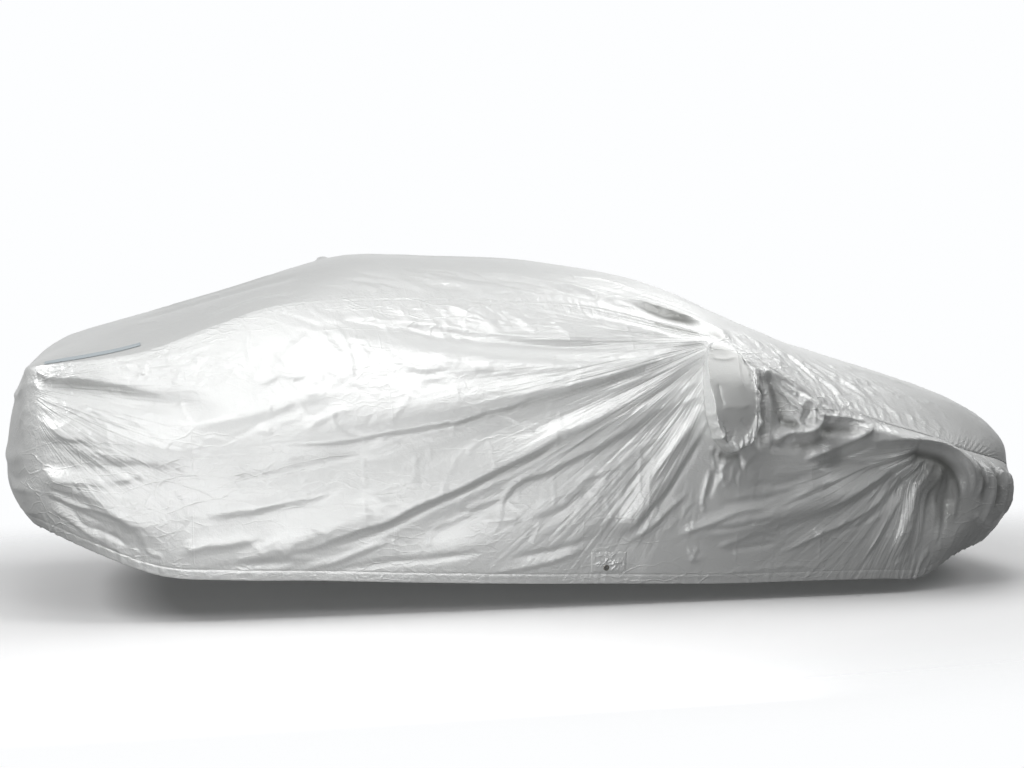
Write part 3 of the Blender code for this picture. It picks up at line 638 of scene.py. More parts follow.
    def top(self, girth: np.ndarray, share: np.ndarray) -> np.ndarray:
        """Points (x, out, z) of the bare top: a row for each girth of the seam, a column for each share."""
        seam = self.bare(girth, np.zeros_like(girth))
        spine = np.array(SPINE)
        middle = smooth_through(spine[:, 0], spine[:, 1:], seam[:, 0])
        tail = self.bare(self.end_girths(self.girths[0], self.tail_corner, share), share * 0)
        nose = self.bare(self.end_girths(self.girths[-1], self.nose_corner, share), share * 0)
        run = self.run_at(girth)[:, None]
        to_tail, to_nose = 1 - smoothstep(0.0, 0.12, run), smoothstep(0.86, 1.0, run)
        points = np.empty((len(girth), len(share), 3))
        crown = self.crown_power + self.nose_fullness * smoothstep(0.80, 0.95, run)
        arch = 1 - share[None, :] ** crown
        ends = self.bare(np.array([self.tail_corner, self.nose_corner]), np.zeros(2))
        mids = self.bare(self.girths[[0, -1]], np.zeros(2))
        for axis, line in ((0, 0), (2, 1)):
            tail_arch = (tail[:, axis] - ends[0][axis]) / (mids[0][axis] - ends[0][axis])
            nose_arch = (nose[:, axis] - ends[1][axis]) / (mids[1][axis] - ends[1][axis])
            shape = arch * (1 - to_tail - to_nose) + tail_arch * to_tail + nose_arch * to_nose
            points[..., axis] = seam[:, None, axis] + (middle[:, line] - seam[:, axis])[:, None] * shape
        points[..., 1] = seam[:, 1][:, None] * share[None, :]
        return points


FORM = CarForm()

# ---------- The creases of the right side, in (girth, z) ----------

REAR_WING = [
    sharp(24, 12.8, -2160, 925, -2070, 880, -1950, 872, -1800, 850, -1700, 830, -1580, 805, -1420, 800,
          steep=0.55, fade=(0.05, 0.5)),
    soft(22, -7.5, -2100, 850, -1950, 835, -1800, 812, -1650, 782, -1450, 775, steep=0.2, fade=(0.05, 0.5)),
    ridge(12, 4.5, -2160, 865, -2090, 820),
    sharp(11, 6.7, -2100, 862, -2060, 884, -2030, 872, steep=0.2),
    sharp(11, 3, -2120, 800, -1950, 765, -1820, 740, -1750, 720, steep=0.3),
    sharp(9, 2.3, -2120, 775, -1980, 735, -1860, 712, steep=0.3),
    sharp(14, 6, -2130, 735, -2060, 690, -2000, 655, -1900, 660, steep=0.4),
    soft(26, -8.3, -2110, 645, -1900, 630, -1800, 610, -1600, 580, steep=0.1),
    soft(20, -5.3, -2110, 560, -1980, 545, -1850, 545, -1680, 560),
    ridge(20, 6, -2110, 520, -2000, 500, -1900, 495, -1800, 505, -1700, 525, steep=0.3),
    sharp(17, 8.3, -2110, 455, -1970, 405, -1870, 380, -1800, 345, -1760, 310, steep=0.5),
    ridge(13, -6, -2100, 440, -2000, 385, -1960, 335, -1870, 298, -1820, 270, -1790, 215),
    ridge(16, 6.7, -2100, 400, -2020, 355, -1950, 300, -1850, 240, -1800, 200, steep=0.4),
    ridge(12, 3.7, -2080, 345, -1980, 285, -1900, 235, steep=0.3),
    sharp(7, 3.7, -1730, 236, -1700, 212, -1670, 214, steep=0.3),
    ridge(22, 6, -1600, 210, -1500, 240, -1400, 250, -1280, 275, steep=0.3),
    soft(16, -4.5, -1550, 140, -1450, 150, -1300, 165, -1150, 170),
    sharp(5, 1.6, -1680, 395, -1682, 315, steep=0.3),
    sharp(12, 3, -1920, 905, -1800, 898, -1660, 905, -1520, 925, steep=0.3),
    sharp(14, 3.7, -1860, 925, -1700, 935, -1500, 985, -1380, 1030, steep=0.3),
    sharp(10, 3, -1620, 930, -1480, 955, -1360, 965, steep=0.4),
]

REAR_DOOR = [
    sharp(8, 4.2, -1020, 1050, -1090, 1000, -1200, 915, steep=0.3),
    sharp(9, 5.2, -1320, 872, -1240, 863, -1180, 890, -1130, 875, -1060, 897, steep=0.4),
    sharp(7, 3.2, -1250, 1090, -1280, 1010, -1290, 925, steep=0.3),
    sharp(6, 3, -920, 1090, -900, 1000, -905, 905, -920, 830, steep=0.3),
    sharp(9, 4.5, -760, 955, -710, 930, -650, 905, -570, 898, steep=0.4),
    sharp(9, 4.5, -1120, 675, -1010, 735, -910, 762, steep=0.4),
    sharp(8, 4, -1300, 678, -1240, 672, steep=0.3),
    sharp(10, 4.5, -890, 566, -800, 600, -730, 627, steep=0.4),
    sharp(8, 3, -560, 942, -480, 938, steep=0.3),
    sharp(8, 3, -450, 912, -360, 908, steep=0.3),
    sharp(8, 4.8, -390, 732, -320, 720, -260, 686, -220, 664, -180, 678, steep=0.4),
    sharp(5, 2.2, -630, 610, -632, 555, steep=0.3),
    sharp(5, 2.2, -630, 265, -632, 215, steep=0.3),
    sharp(5, 2.2, -100, 745, -105, 665, steep=0.3),
    soft(30, 6, -1550, 700, -1350, 735, -1150, 790, -950, 820, steep=0.2),
    soft(30, -6, -1450, 480, -1250, 500, -1050, 540, -850, 575),
    soft(24, 6, -1500, 360, -1300, 390, -1100, 425, -950, 470, steep=0.2),
]

DOOR_FAN = [
    # The highest fold of the fan, a clear ridge with a hollow under it.
    sharp(14, 8, -930, 1120, -780, 1098, -620, 1083, -500, 1066, -400, 1048, -300, 1036, -200, 1026,
          -100, 1019, 0, 1019, 100, 1016, 250, 1014, steep=0.55, fade=(0.12, 0.3)),
    soft(22, -7, -740, 1070, -570, 1030, -400, 1000, -300, 984, -200, 990, 0, 988, 200, 986, 360, 1000,
          steep=0.1, fade=(0.2, 0.3)),
    sharp(10, 3, -700, 1048, -520, 1006, -360, 978, -200, 966, 20, 962, steep=0.3),
    # The second, its dark underside running down to the rear wing.
    sharp(14, 6, 300, 925, 250, 907, 100, 868, 0, 850, -100, 824, -200, 806, -300, 764, -400, 745, -500, 708,
          -600, 695, -700, 677, -800, 666, -900, 647, -1000, 632, -1250, 630, -1550, 590, steep=0.6,
          fade=(0.06, 0.45)),
    ridge(12, -4, 250, 878, 100, 838, 0, 812, -100, 796, -200, 780, -300, 742, -400, 718, -500, 688,
          -700, 649, -900, 616, steep=0.1, fade=(0.1, 0.4)),
    # The third, a sharp bright crest right above a dark line, from the mirror to the sill.
    sharp(15, 9, 610, 992, 540, 953, 460, 914, 380, 868, 290, 819, 210, 780, 130, 744, 70, 714, 0, 684,
          -100, 649, -200, 592, -300, 548, -400, 503, -500, 452, -600, 412, -700, 372, -800, 318, -900, 292,
          -1000, 258, -1100, 222, -1200, 206, -1320, 170, steep=0.68, fade=(0.06, 0.3)),
    ridge(10, -5, 580, 950, 460, 890, 380, 844, 290, 794, 210, 754, 130, 719, 0, 658, -100, 620, -200, 562,
          -300, 518, -400, 472, -500, 422, -600, 382, -800, 288, -1000, 228, -1200, 178, fade=(0.1, 0.3)),
    soft(40, 6, -1400, 175, -1200, 236, -1000, 310, -850, 368, -700, 428, steep=0.2),
    # Its lower branch.
    ridge(16, 10, 360, 755, 270, 722, 220, 687, 160, 652, 100, 624, 50, 592, 0, 574, -100, 527, -140, 506,
          -230, 477, -270, 464, -310, 428, -340, 380, -350, 330, -370, 260, -400, 205, steep=0.5,
          fade=(0.08, 0.5)),
    ridge(12, 4, -280, 425, -400, 382, -520, 352, steep=0.3),
    ridge(16, 7, 340, 645, 280, 616, 210, 580, 150, 535, 50, 486, -60, 456, steep=0.4),
    sharp(9, 4, 400, 700, 300, 652, 180, 600, 60, 540, -100, 490, steep=0.3),
    soft(20, -6, 80, 495, -50, 375, -100, 338, -240, 298),
    ridge(14, 4, -260, 316, -340, 312, -440, 306, steep=0.2),
    ridge(13, 5, -1150, 130, -1000, 165, -900, 205, -780, 242, steep=0.4),
    ridge(12, -5, -1080, 112, -950, 134, -800, 154, -600, 165, -380, 190),
    ridge(11, -5, 100, 248, 0, 215, -100, 186, -200, 170, -320, 152),
    sharp(9, 6, 60, 200, -40, 166, -100, 146, -200, 121, -300, 105, -420, 94, steep=0.55),
    ridge(12, 3, 0, 420, -120, 402, -220, 360, steep=0.3),
    ridge(16, 4, -660, 480, -800, 440, -980, 395, steep=0.3),
]

UPPER_FAN = [
    ridge(12, -7, 140, 1132, 270, 1106, 350, 1086, 420, 1056, 540, 1024, steep=0.2),
    sharp(8, 4, 120, 1114, 250, 1088, 360, 1060, 470, 1030, steep=0.4),
    ridge(10, -5, 100, 1100, 210, 1066, 280, 1046, 360, 1026, steep=0.2),
    sharp(9, 3, 80, 1050, 240, 1022, 420, 1010, 600, 1022, steep=0.3),
    sharp(7, -3, 130, 930, 200, 945, 300, 952),
    ridge(9, -5, 250, 900, 380, 950, 490, 990, 560, 1006, 620, 1016, steep=0.1, fade=(0.2, 0.1)),
    sharp(8, 4, 250, 930, 380, 973, 480, 1006, 600, 1022, steep=0.4, fade=(0.2, 0.1)),
    sharp(9, 4, 80, 868, 200, 900, 300, 925, 400, 948, steep=0.4),
    ridge(9, -5, 70, 845, 180, 866, 290, 886, 370, 920, 460, 950, 550, 985, 610, 1005, steep=0.1,
          fade=(0.2, 0.1)),
    sharp(9, 6, 60, 800, 180, 836, 270, 866, 360, 896, 480, 946, 590, 988, steep=0.4, fade=(0.2, 0.1)),
    sharp(9, -4, 450, 862, 530, 892),
    sharp(9, -4, 410, 778, 500, 838),
    sharp(8, 4, 420, 815, 510, 868, steep=0.3),
    sharp(9, -4, 410, 738, 500, 768),
    sharp(8, 4, 380, 752, 500, 800, steep=0.3),
]

FRONT_DOOR = [
    sharp(16, 8, 505, 750, 455, 692, 400, 632, 340, 562, 295, 511, 250, 461, 180, 400, steep=0.6,
          fade=(0.06, 0.45)),
    sharp(15, 9, 510, 690, 460, 622, 410, 546, 365, 476, 325, 411, 260, 346, 200, 276, 155, 236, 125, 201,
          90, 150, steep=0.6, fade=(0.06, 0.45)),
    ridge(12, -5, 490, 705, 430, 620, 370, 545, 320, 480, 240, 400),
    ridge(13, -6, 490, 630, 440, 555, 390, 475, 350, 410, 280, 335, 200, 250),
    ridge(14, 9, 440, 410, 360, 346, 300, 286, 240, 241, 170, 196, 80, 132, steep=0.4),
    sharp(5, 2.5, 225, 600, 222, 480, 220, 380, steep=0.3),
    sharp(5, 2.5, 190, 350, 188, 250, steep=0.3),
    # The dart under the mirror.
    sharp(8, 8, 522, 500, 512, 450, 496, 380, 488, 330, steep=0.5),
    ridge(12, -6, 545, 500, 535, 440, 515, 370),
    ridge(14, 5, 560, 505, 575, 455, 600, 405, steep=0.3),
    sharp(7, 5, 488, 368, 502, 345, 494, 320, steep=0.2),
    ridge(14, 9, 400, 220, 450, 246, 540, 276, 640, 316, 800, 335, steep=0.45),
    ridge(12, -8, 500, 248, 630, 252, 700, 266, 840, 292),
    ridge(13, 7, 560, 168, 640, 196, 700, 220, 820, 242, steep=0.4),
    ridge(11, -6, 600, 152, 700, 166, 840, 182),
    sharp(7, 4, 440, 62, 530, 50, 600, 55, 680, 65, 770, 70, 900, 78, 1100, 56, steep=0.4),
    sharp(7, 5, 438, 172, 465, 128, 492, 108, steep=0.2),
    sharp(7, 4, 455, 105, 470, 150, 492, 176, steep=0.2),
]

MIRROR_LEE = [
    # Ahead of the mirror: a smooth recessed plane, a sharp edge, then a shaded triangle.
    soft(30, -30, 742, 840, 752, 740, 752, 640, 735, 560, fade=(0.2, 0.3)),
    sharp(30, 24, 772, 910, 792, 830, 800, 740, 797, 660, 780, 590, steep=-0.75, fade=(0.15, 0.3)),
    sharp(12, 15, 800, 905, 850, 820, 885, 790, 915, 755, 940, 700, steep=0.2, fade=(0.1, 0.25)),
    sharp(9, 8, 870, 850, 915, 810, 950, 780, steep=0.4),
    sharp(8, 7, 905, 790, 930, 745, 962, 735, steep=0.4),
    ridge(19, 28, 800, 598, 840, 612, 880, 632, 950, 634, 1000, 654, 1035, 690, 1060, 740, steep=0.55,
          fade=(0.12, 0.3)),
    ridge(16, -24, 850, 690, 895, 672, 935, 668),
    sharp(8, -14, 945, 660, 965, 695, 985, 745),
    sharp(11, 12, 975, 665, 995, 710, 1012, 760, steep=0.3),
    sharp(8, 10, 925, 690, 945, 725, 962, 770, steep=0.2),
    sharp(10, 5, 840, 885, 930, 835, 1020, 790, steep=0.4),
    sharp(10, -5, 860, 865, 950, 815, 1050, 765),
    sharp(9, -5, 780, 940, 880, 870, 960, 810, steep=0.2),
    soft(22, -12, 780, 580, 860, 585, 940, 570),
    # Under the bag.
    ridge(18, -10, 515, 565, 575, 548, 640, 562),
    ridge(15, 8, 560, 492, 600, 532, 640, 556, steep=0.3),
    ridge(13, 7, 662, 500, 690, 535, 720, 562, steep=0.3),
    sharp(8, -6, 642, 565, 650, 525, 655, 485),
    sharp(7, 5, 535, 600, 530, 560, 535, 515, steep=0.2),
    sharp(7, 4, 560, 590, 558, 555, 552, 520, steep=0.2),
]

FRONT_WING = [
    sharp(12, 12, 1000, 712, 1060, 700, 1150, 692, 1280, 672, steep=0.5),
    soft(22, -18, 1000, 655, 1100, 645, 1220, 636),
    ridge(19, 24, 940, 515, 1020, 545, 1100, 558, 1160, 586, 1210, 612, 1250, 640, 1280, 668, steep=0.6,
          fade=(0.2, 0.2)),
    soft(16, -14, 1000, 496, 1100, 508, 1220, 552, 1300, 605),
    sharp(10, 9, 1160, 540, 1240, 570, 1320, 605, steep=0.5),
    # The bulge that the wing's edge makes over the wheel, with the hollow under it.
    ridge(30, 34, 1240, 590, 1350, 590, 1440, 588, 1500, 584, 1560, 575, 1630, 556, 1690, 520, 1725, 470,
          1745, 410, 1750, 340, steep=0.8, fade=(0.2, 0.25)),
    ridge(24, -28, 1420, 545, 1500, 545, 1570, 532, 1630, 505, 1675, 460, 1700, 400, 1705, 330, steep=-0.4,
          fade=(0.2, 0.3)),
    # The pulled folds that fan out from the hollow over the wheel.
    sharp(16, 11, 1500, 560, 1430, 541, 1360, 513, 1290, 488, 1200, 466, 1100, 436, 1000, 410, 900, 366,
          820, 335, steep=0.6, fade=(0.07, 0.25)),
    sharp(17, 12, 1510, 550, 1410, 484, 1350, 451, 1280, 421, 1200, 384, 1120, 346, 1000, 301, 900, 266,
          820, 230, steep=0.6, fade=(0.07, 0.45)),
    sharp(17, 11, 1530, 530, 1450, 444, 1400, 406, 1350, 371, 1280, 326, 1190, 276, 1100, 240, 1000, 201,
          900, 156, 820, 130, steep=0.6, fade=(0.07, 0.22)),
    sharp(15, 10, 1560, 500, 1510, 400, 1470, 311, 1430, 245, 1400, 181, 1385, 115, steep=0.6,
          fade=(0.07, 0.3)),
    ridge(20, 9, 1600, 480, 1565, 370, 1540, 291, 1520, 221, 1505, 151, 1495, 110, steep=0.4,
          fade=(0.1, 0.3)),
    ridge(11, -5, 1500, 552, 1400, 510, 1300, 465, 1180, 425, 1040, 382, fade=(0.07, 0.25)),
    ridge(11, -6, 1510, 540, 1410, 462, 1300, 395, 1160, 330, 1000, 268, fade=(0.07, 0.25)),
    ridge(11, -6, 1530, 515, 1450, 418, 1360, 340, 1240, 262, 1080, 200, fade=(0.07, 0.25)),
    ridge(12, -5, 1550, 500, 1480, 380, 1410, 280, 1360, 190, 1330, 120, fade=(0.07, 0.4)),
    ridge(11, -5, 1580, 460, 1530, 350, 1490, 250, 1460, 150),
    sharp(7, 6, 1490, 555, 1400, 532, 1280, 512, 1160, 490, steep=0.4, fade=(0.07, 0.25)),
    sharp(8, 4, 1500, 548, 1400, 498, 1290, 455, 1160, 410, steep=0.4, fade=(0.07, 0.25)),
    sharp(8, 4, 1515, 535, 1420, 455, 1320, 390, 1200, 325, steep=0.4, fade=(0.07, 0.25)),
    sharp(8, 4, 1540, 515, 1460, 405, 1390, 315, 1330, 235, steep=0.4, fade=(0.07, 0.25)),
    sharp(10, 7, 1430, 360, 1340, 255, 1280, 165, 1240, 100, steep=0.5),
    sharp(5, 2.5, 1370, 665, 1368, 520, steep=0.3),
    sharp(5, 2, 980, 520, 982, 400, steep=0.3),
    sharp(7, 5, 990, 242, 1020, 215, 1055, 188, steep=0.2),
    sharp(7, 5, 1000, 190, 1020, 215, 1050, 240, steep=0.2),
    ridge(14, 6, 800, 470, 920, 474, 1040, 500, steep=0.4),
    soft(16, -7, 700, 430, 840, 425, 980, 455, steep=0.1),
    ridge(12, 6, 620, 380, 780, 392, 920, 415, steep=0.4),
    ridge(10, -5, 560, 350, 700, 362, 840, 380),
    # Upright folds inside the hollow.
    sharp(12, 9, 1580, 500, 1600, 400, 1605, 300, 1595, 200, steep=0.4),
    ridge(12, -9, 1630, 470, 1648, 370, 1650, 260, 1640, 170),
    sharp(10, 8, 1670, 440, 1690, 340, 1690, 230, steep=0.4),
    sharp(9, 6, 1620, 330, 1625, 230, 1615, 140, steep=0.4),
]

NOSE = [
    sharp(10, 16.5, 1745, 545, 1775, 480, 1790, 410, 1785, 330, steep=0.4),
    sharp(10, 15, 1800, 520, 1825, 450, 1830, 370, steep=0.4),
    ridge(8, -10.5, 1770, 520, 1802, 430, 1806, 340),
    ridge(16, 18, 1850, 500, 1872, 400, 1872, 290, 1860, 200, steep=0.4),
    soft(16, -15, 1930, 480, 1945, 380, 1935, 260),
    ridge(16, 18, 1980, 480, 2005, 400, 2005, 300, 1990, 200, steep=0.4),
    soft(18, -12, 2060, 450, 2085, 350, 2080, 240),
    ridge(18, 12, 2130, 440, 2160, 340, 2150, 230, steep=0.3),
    ridge(20, 12, 2260, 410, 2290, 320, 2280, 200, steep=0.3),
    soft(20, -9, 2400, 380, 2420, 300, 2410, 180),
    ridge(22, 10.5, 2540, 360, 2560, 280, 2550, 180, steep=0.3),
    ridge(14, 9, 1780, 270, 1880, 225, 1990, 200, 2150, 205, steep=0.3),
]

RIGHT_ZONES = [
    # Over the doors and under the seam, fine diagonal wrinkles.
    CrumpleZone((-0.35, 1.115), (0.60, 0.06), 44, 0.200, 0.0100, 0.0028, -28, 12),
    CrumpleZone((-0.95, 1.02), (0.40, 0.14), 42, 0.120, 0.0062, 0.0019, -40, 38),
    CrumpleZone((-0.55, 0.88), (0.50, 0.12), 35, 0.120, 0.0062, 0.0018, 5, 22),
    CrumpleZone((-1.15, 0.80), (0.28, 0.14), 31, 0.105, 0.0062, 0.0021, 20, 45),
    CrumpleZone((-1.60, 0.92), (0.28, 0.05), 35, 0.105, 0.0062, 0.0025, 18, 20),
    CrumpleZone((-1.95, 0.75), (0.20, 0.14), 31, 0.105, 0.0062, 0.0025, -15, 30),
    CrumpleZone((-1.70, 0.55), (0.35, 0.20), 35, 0.120, 0.0075, 0.0018, -5, 40),
    CrumpleZone((-0.20, 0.72), (0.35, 0.09), 28, 0.090, 0.0062, 0.0015, 30, 30),
    CrumpleZone((-0.60, 0.45), (0.60, 0.25), 49, 0.120, 0.0075, 0.0015, 30, 32),
    CrumpleZone((0.05, 0.35), (0.35, 0.22), 49, 0.105, 0.0062, 0.0015, 60, 30),
    CrumpleZone((-1.20, 0.30), (0.45, 0.18), 31, 0.120, 0.0075, 0.0016, 20, 40),
    # Round the mirror and over the front wing, much more.
    CrumpleZone((1.03, 0.765), (0.11, 0.06), 44, 0.060, 0.0066, 0.0032, -50, 40),
    CrumpleZone((1.15, 0.71), (0.16, 0.04), 46, 0.050, 0.0066, 0.0034, 35, 50),
    CrumpleZone((0.62, 0.50), (0.13, 0.05), 28, 0.075, 0.0062, 0.0020, 75, 30),
    CrumpleZone((0.30, 0.95), (0.22, 0.06), 28, 0.090, 0.0062, 0.0019, 22, 12),
    CrumpleZone((0.45, 0.30), (0.30, 0.18), 42, 0.090, 0.0062, 0.0018, 50, 35),
    CrumpleZone((0.95, 0.30), (0.35, 0.20), 56, 0.105, 0.0062, 0.0018, 25, 25),
    CrumpleZone((1.40, 0.30), (0.18, 0.18), 42, 0.090, 0.0062, 0.0018, 50, 25),
    CrumpleZone((1.50, 0.585), (0.22, 0.02), 28, 0.060, 0.0062, 0.0023, -75, 20),
    CrumpleZone((1.95, 0.35), (0.25, 0.12), 31, 0.105, 0.0062, 0.0025, 85, 25),
    CrumpleZone((2.45, 0.28), (0.35, 0.09), 28, 0.105, 0.0062, 0.0021, 85, 25),
    # Gathered by the elastic in the hem at both ends.
    CrumpleZone((1.48, 0.07), (0.14, 0.04), 35, 0.075, 0.0062, 0.0033, 82, 14),
    CrumpleZone((1.95, 0.16), (0.35, 0.03), 35, 0.075, 0.0062, 0.0029, 88, 12),
    CrumpleZone((2.55, 0.15), (0.30, 0.03), 28, 0.075, 0.0062, 0.0029, 88, 12),
    CrumpleZone((-1.90, 0.27), (0.20, 0.05), 28, 0.075, 0.0062, 0.0025, 80, 18),
]


RIGHT_FANS = [
    Fan((0.635, 1.022), (172, 196), (0.06, 0.40), (0.25, 0.80), 16, 0.0065, 0.0020),
    Fan((0.635, 1.022), (196, 226), (0.08, 0.45), (0.25, 0.90), 26, 0.0065, 0.0022),
    Fan((0.560, 0.900), (222, 244), (0.10, 0.50), (0.20, 0.60), 18, 0.0065, 0.0022),
    Fan((1.520, 0.565), (192, 262), (0.04, 0.35), (0.25, 0.75), 34, 0.0065, 0.0020),
    Fan((-2.160, 0.900), (-38, -4), (0.10, 0.30), (0.20, 0.60), 20, 0.0065, 0.0015),
    Fan((-2.160, 0.700), (-42, -2), (0.08, 0.25), (0.15, 0.50), 18, 0.0065, 0.0015),
    Fan((-2.160, 0.500), (-46, 2), (0.06, 0.25), (0.15, 0.50), 18, 0.0065, 0.0015),
    Fan((0.790, 0.960), (-66, -28), (0.06, 0.20), (0.08, 0.30), 16, 0.0065, 0.0034),
]


@dataclass(frozen=True)
class PackingFolds:
    """The faint straight lines left from how the cover was folded in its bag."""

    upright_every: float = 0.385
    level_every: float = 0.300
    width: float = 0.0045
    height: float = 0.0012

    def line(self, ends: tuple, strength: float) -> Crease:
        """One piece of a line."""
        return Crease(ends, self.width, self.height * strength, 0.3, Crest.SHARP)

    def creases(self, span: tuple, heights_: tuple, seed: int) -> list[Crease]:
        """Broken lines both ways over a span of the cloth."""
        rng = np.random.default_rng(seed)
        made = []
        for girth in np.arange(span[0], span[1], self.upright_every):
            z = heights_[0]
            while z < heights_[1]:
                length = rng.uniform(0.05, 0.20)
                lean = rng.normal(0, 0.004)
                line = ((girth + lean, z), (girth + rng.normal(0, 0.003), z + length))
                made.append(self.line(line, rng.uniform(0.6, 1.7)))
                z += length + rng.uniform(0.02, 0.16)
        for z in np.arange(heights_[0] + 0.12, heights_[1], self.level_every):
            girth = span[0]
            while girth < span[1]:
                length = rng.uniform(0.08, 0.25)
                line = ((girth, z + rng.normal(0, 0.003)), (girth + length, z + rng.normal(0, 0.003)))
                made.append(self.line(line, rng.uniform(0.4, 1.2)))
                girth += length + rng.uniform(0.05, 0.35)
        return made


# Painted shade: where the cloth lies in hollows or under folds, its colour is darkened towards grey to
# stand in for the shade there. The height is the share of that painted shade, in thousandths.
SIDE_PAINTED_SHADE = [
    ridge(34, 850, 1360, 535, 1450, 536, 1530, 530, 1600, 510, 1655, 470, 1685, 410, 1695, 330, steep=-0.5,
          fade=(0.35, 0.4)),
    soft(85, 500, 1500, 480, 1580, 420, 1640, 320, 1660, 180),
    soft(14, 600, 1760, 480, 1805, 400, 1810, 300),
    soft(22, 600, 1930, 460, 1945, 360, 1935, 260),
    soft(20, 500, 2060, 430, 2085, 340, 2080, 240),
    soft(22, 450, 738, 850, 757, 740, 755, 650, 735, 570),
    soft(10, 500, 748, 845, 764, 822, 776, 780),
    soft(28, 500, 812, 840, 845, 780, 862, 720, 845, 670),
    soft(13, 900, 862, 684, 900, 674, 938, 672, fade=(0.3, 0.3)),
    soft(20, 600, 880, 585, 970, 590, 1060, 630, 1120, 655),
    soft(14, 750, 545, 562, 600, 545, 655, 560),
    soft(16, 450, 1000, 650, 1120, 645, 1240, 634),
    soft(10, 300, 560, 930, 300, 800, 0, 660, -400, 476, -900, 262, fade=(0.1, 0.5)),
    soft(10, 300, 300, 895, 0, 826, -300, 745, -700, 655),
    soft(14, 300, -2060, 862, -1900, 850, -1700, 812),
    soft(9, 750, 380, 1096, 450, 1074, 520, 1053, 580, 1034, fade=(0.1, 0.3)),
]

# Painted shade on the top, under the pillar's edge by the mirror.
TOP_PAINTED_SHADE = [
    ridge(20, 800, 270, -602, 340, -630, 440, -678, 540, -730, 600, -764, steep=0.3, fade=(0.35, 0.45)),
    ridge(12, 750, 420, -676, 500, -718, 580, -760, 650, -796, steep=0.3, fade=(0.35, 0.1)),
]


# ---------- The creases of the top, in (x, y) ----------

TOP_CREASES = [
    # The pillar's edge, steep below, closing at the mirror.
    ridge(34, 20, 200, -570, 300, -592, 400, -640, 500, -690, 600, -742, 680, -790, steep=0.72,
          fade=(0.35, 0.1)),
    ridge(14, -11, 270, -618, 340, -646, 440, -698, 540, -746, 640, -795, fade=(0.35, 0.1)),
    sharp(11, 7, 130, -612, 200, -578, 270, -562),
    sharp(9, 4, 280, -520, 420, -590, 560, -670, 700, -750, steep=0.3),
    sharp(9, 3, 340, -480, 500, -570, 660, -680, 780, -770, steep=0.3),
    # Pulled lines over the doors, running down and forward to the seam.
    ridge(14, -5, -900, -500, -720, -545, -550, -590),
    sharp(9, 4, -860, -545, -760, -590, steep=0.3),
    sharp(9, 4, -780, -530, -680, -600, steep=0.3),
    ridge(20, -9, -600, -520, -450, -550, -280, -585, -50, -610, steep=0.2),
    ridge(14, 6, -580, -490, -420, -525, -220, -560, 0, -595, steep=0.3),
    ridge(16, -7, -480, -450, -280, -500, -100, -555, 100, -615, steep=0.2),
    ridge(16, -8, -300, -440, -100, -500, 120, -565, 280, -625, steep=0.2),
    ridge(12, 6, -280, -410, -60, -470, 140, -530, 300, -590, steep=0.3),
    ridge(14, -10, -50, -530, 120, -590, 280, -650, 400, -700, steep=0.1),
    ridge(12, 7, -100, -560, 80, -615, 240, -660, 380, -712, steep=0.3),
    sharp(5, 3, 100, -360, 105, -470, steep=0.2),
    # The foot of the windscreen and the bonnet.
    ridge(20, 8, 660, -700, 840, -650, 1020, -640, 1200, -700, steep=0.2),
    sharp(14, 8, 720, -760, 860, -760, 1020, -800, steep=0.3),
    ridge(12, -8, 800, -800, 950, -790, 1060, -840),
    sharp(12, 7, 1000, -640, 1100, -720, 1200, -830, steep=0.3),
    ridge(14, 6, 900, -560, 1060, -640, 1220, -760, steep=0.3),
    ridge(14, 5, 1120, -560, 1240, -640, 1340, -780, steep=0.3),
    sharp(9, 4, 1160, -500, 1240, -520, 1300, -510, steep=0.3),
    soft(30, 6, 1300, -430, 1500, -420, 1720, -460),
    soft(35, 5, 1200, -200, 1500, -160, 1800, -190),
    soft(30, -6, 700, -300, 900, -220, 1150, -240),
    # Pleats above the seam over the front wheel.
    sharp(9, 7, 1420, -770, 1460, -842, steep=0.2),
    sharp(10, 8, 1500, -760, 1530, -835, steep=0.2),
    sharp(9, 6, 1560, -740, 1600, -820, steep=0.2),
    sharp(9, 6, 1640, -730, 1680, -800, steep=0.2),
    sharp(9, 6, 1360, -790, 1380, -860, steep=0.2),
    # Slack over the rear window and the boot.
    soft(30, 7, -1100, -180, -1400, -140, -1700, -170),
    soft(24, 7, -1200, 300, -1450, 180, -1780, 120),
    ridge(18, 6, -1120, 550, -1400, 500, -1700, 560, steep=0.3),
    ridge(14, 5, -1100, -560, -1300, -560, -1520, -620, steep=0.3),
    soft(26, 4, -600, 300, -200, 260, 150, 320),
    soft(26, 4, -700, -120, -300, -160, 100, -100),
    soft(26, -6, 550, 150, 850, 180, 1150, 120),
    soft(30, 6, 1250, 240, 1550, 280, 1850, 220),
]

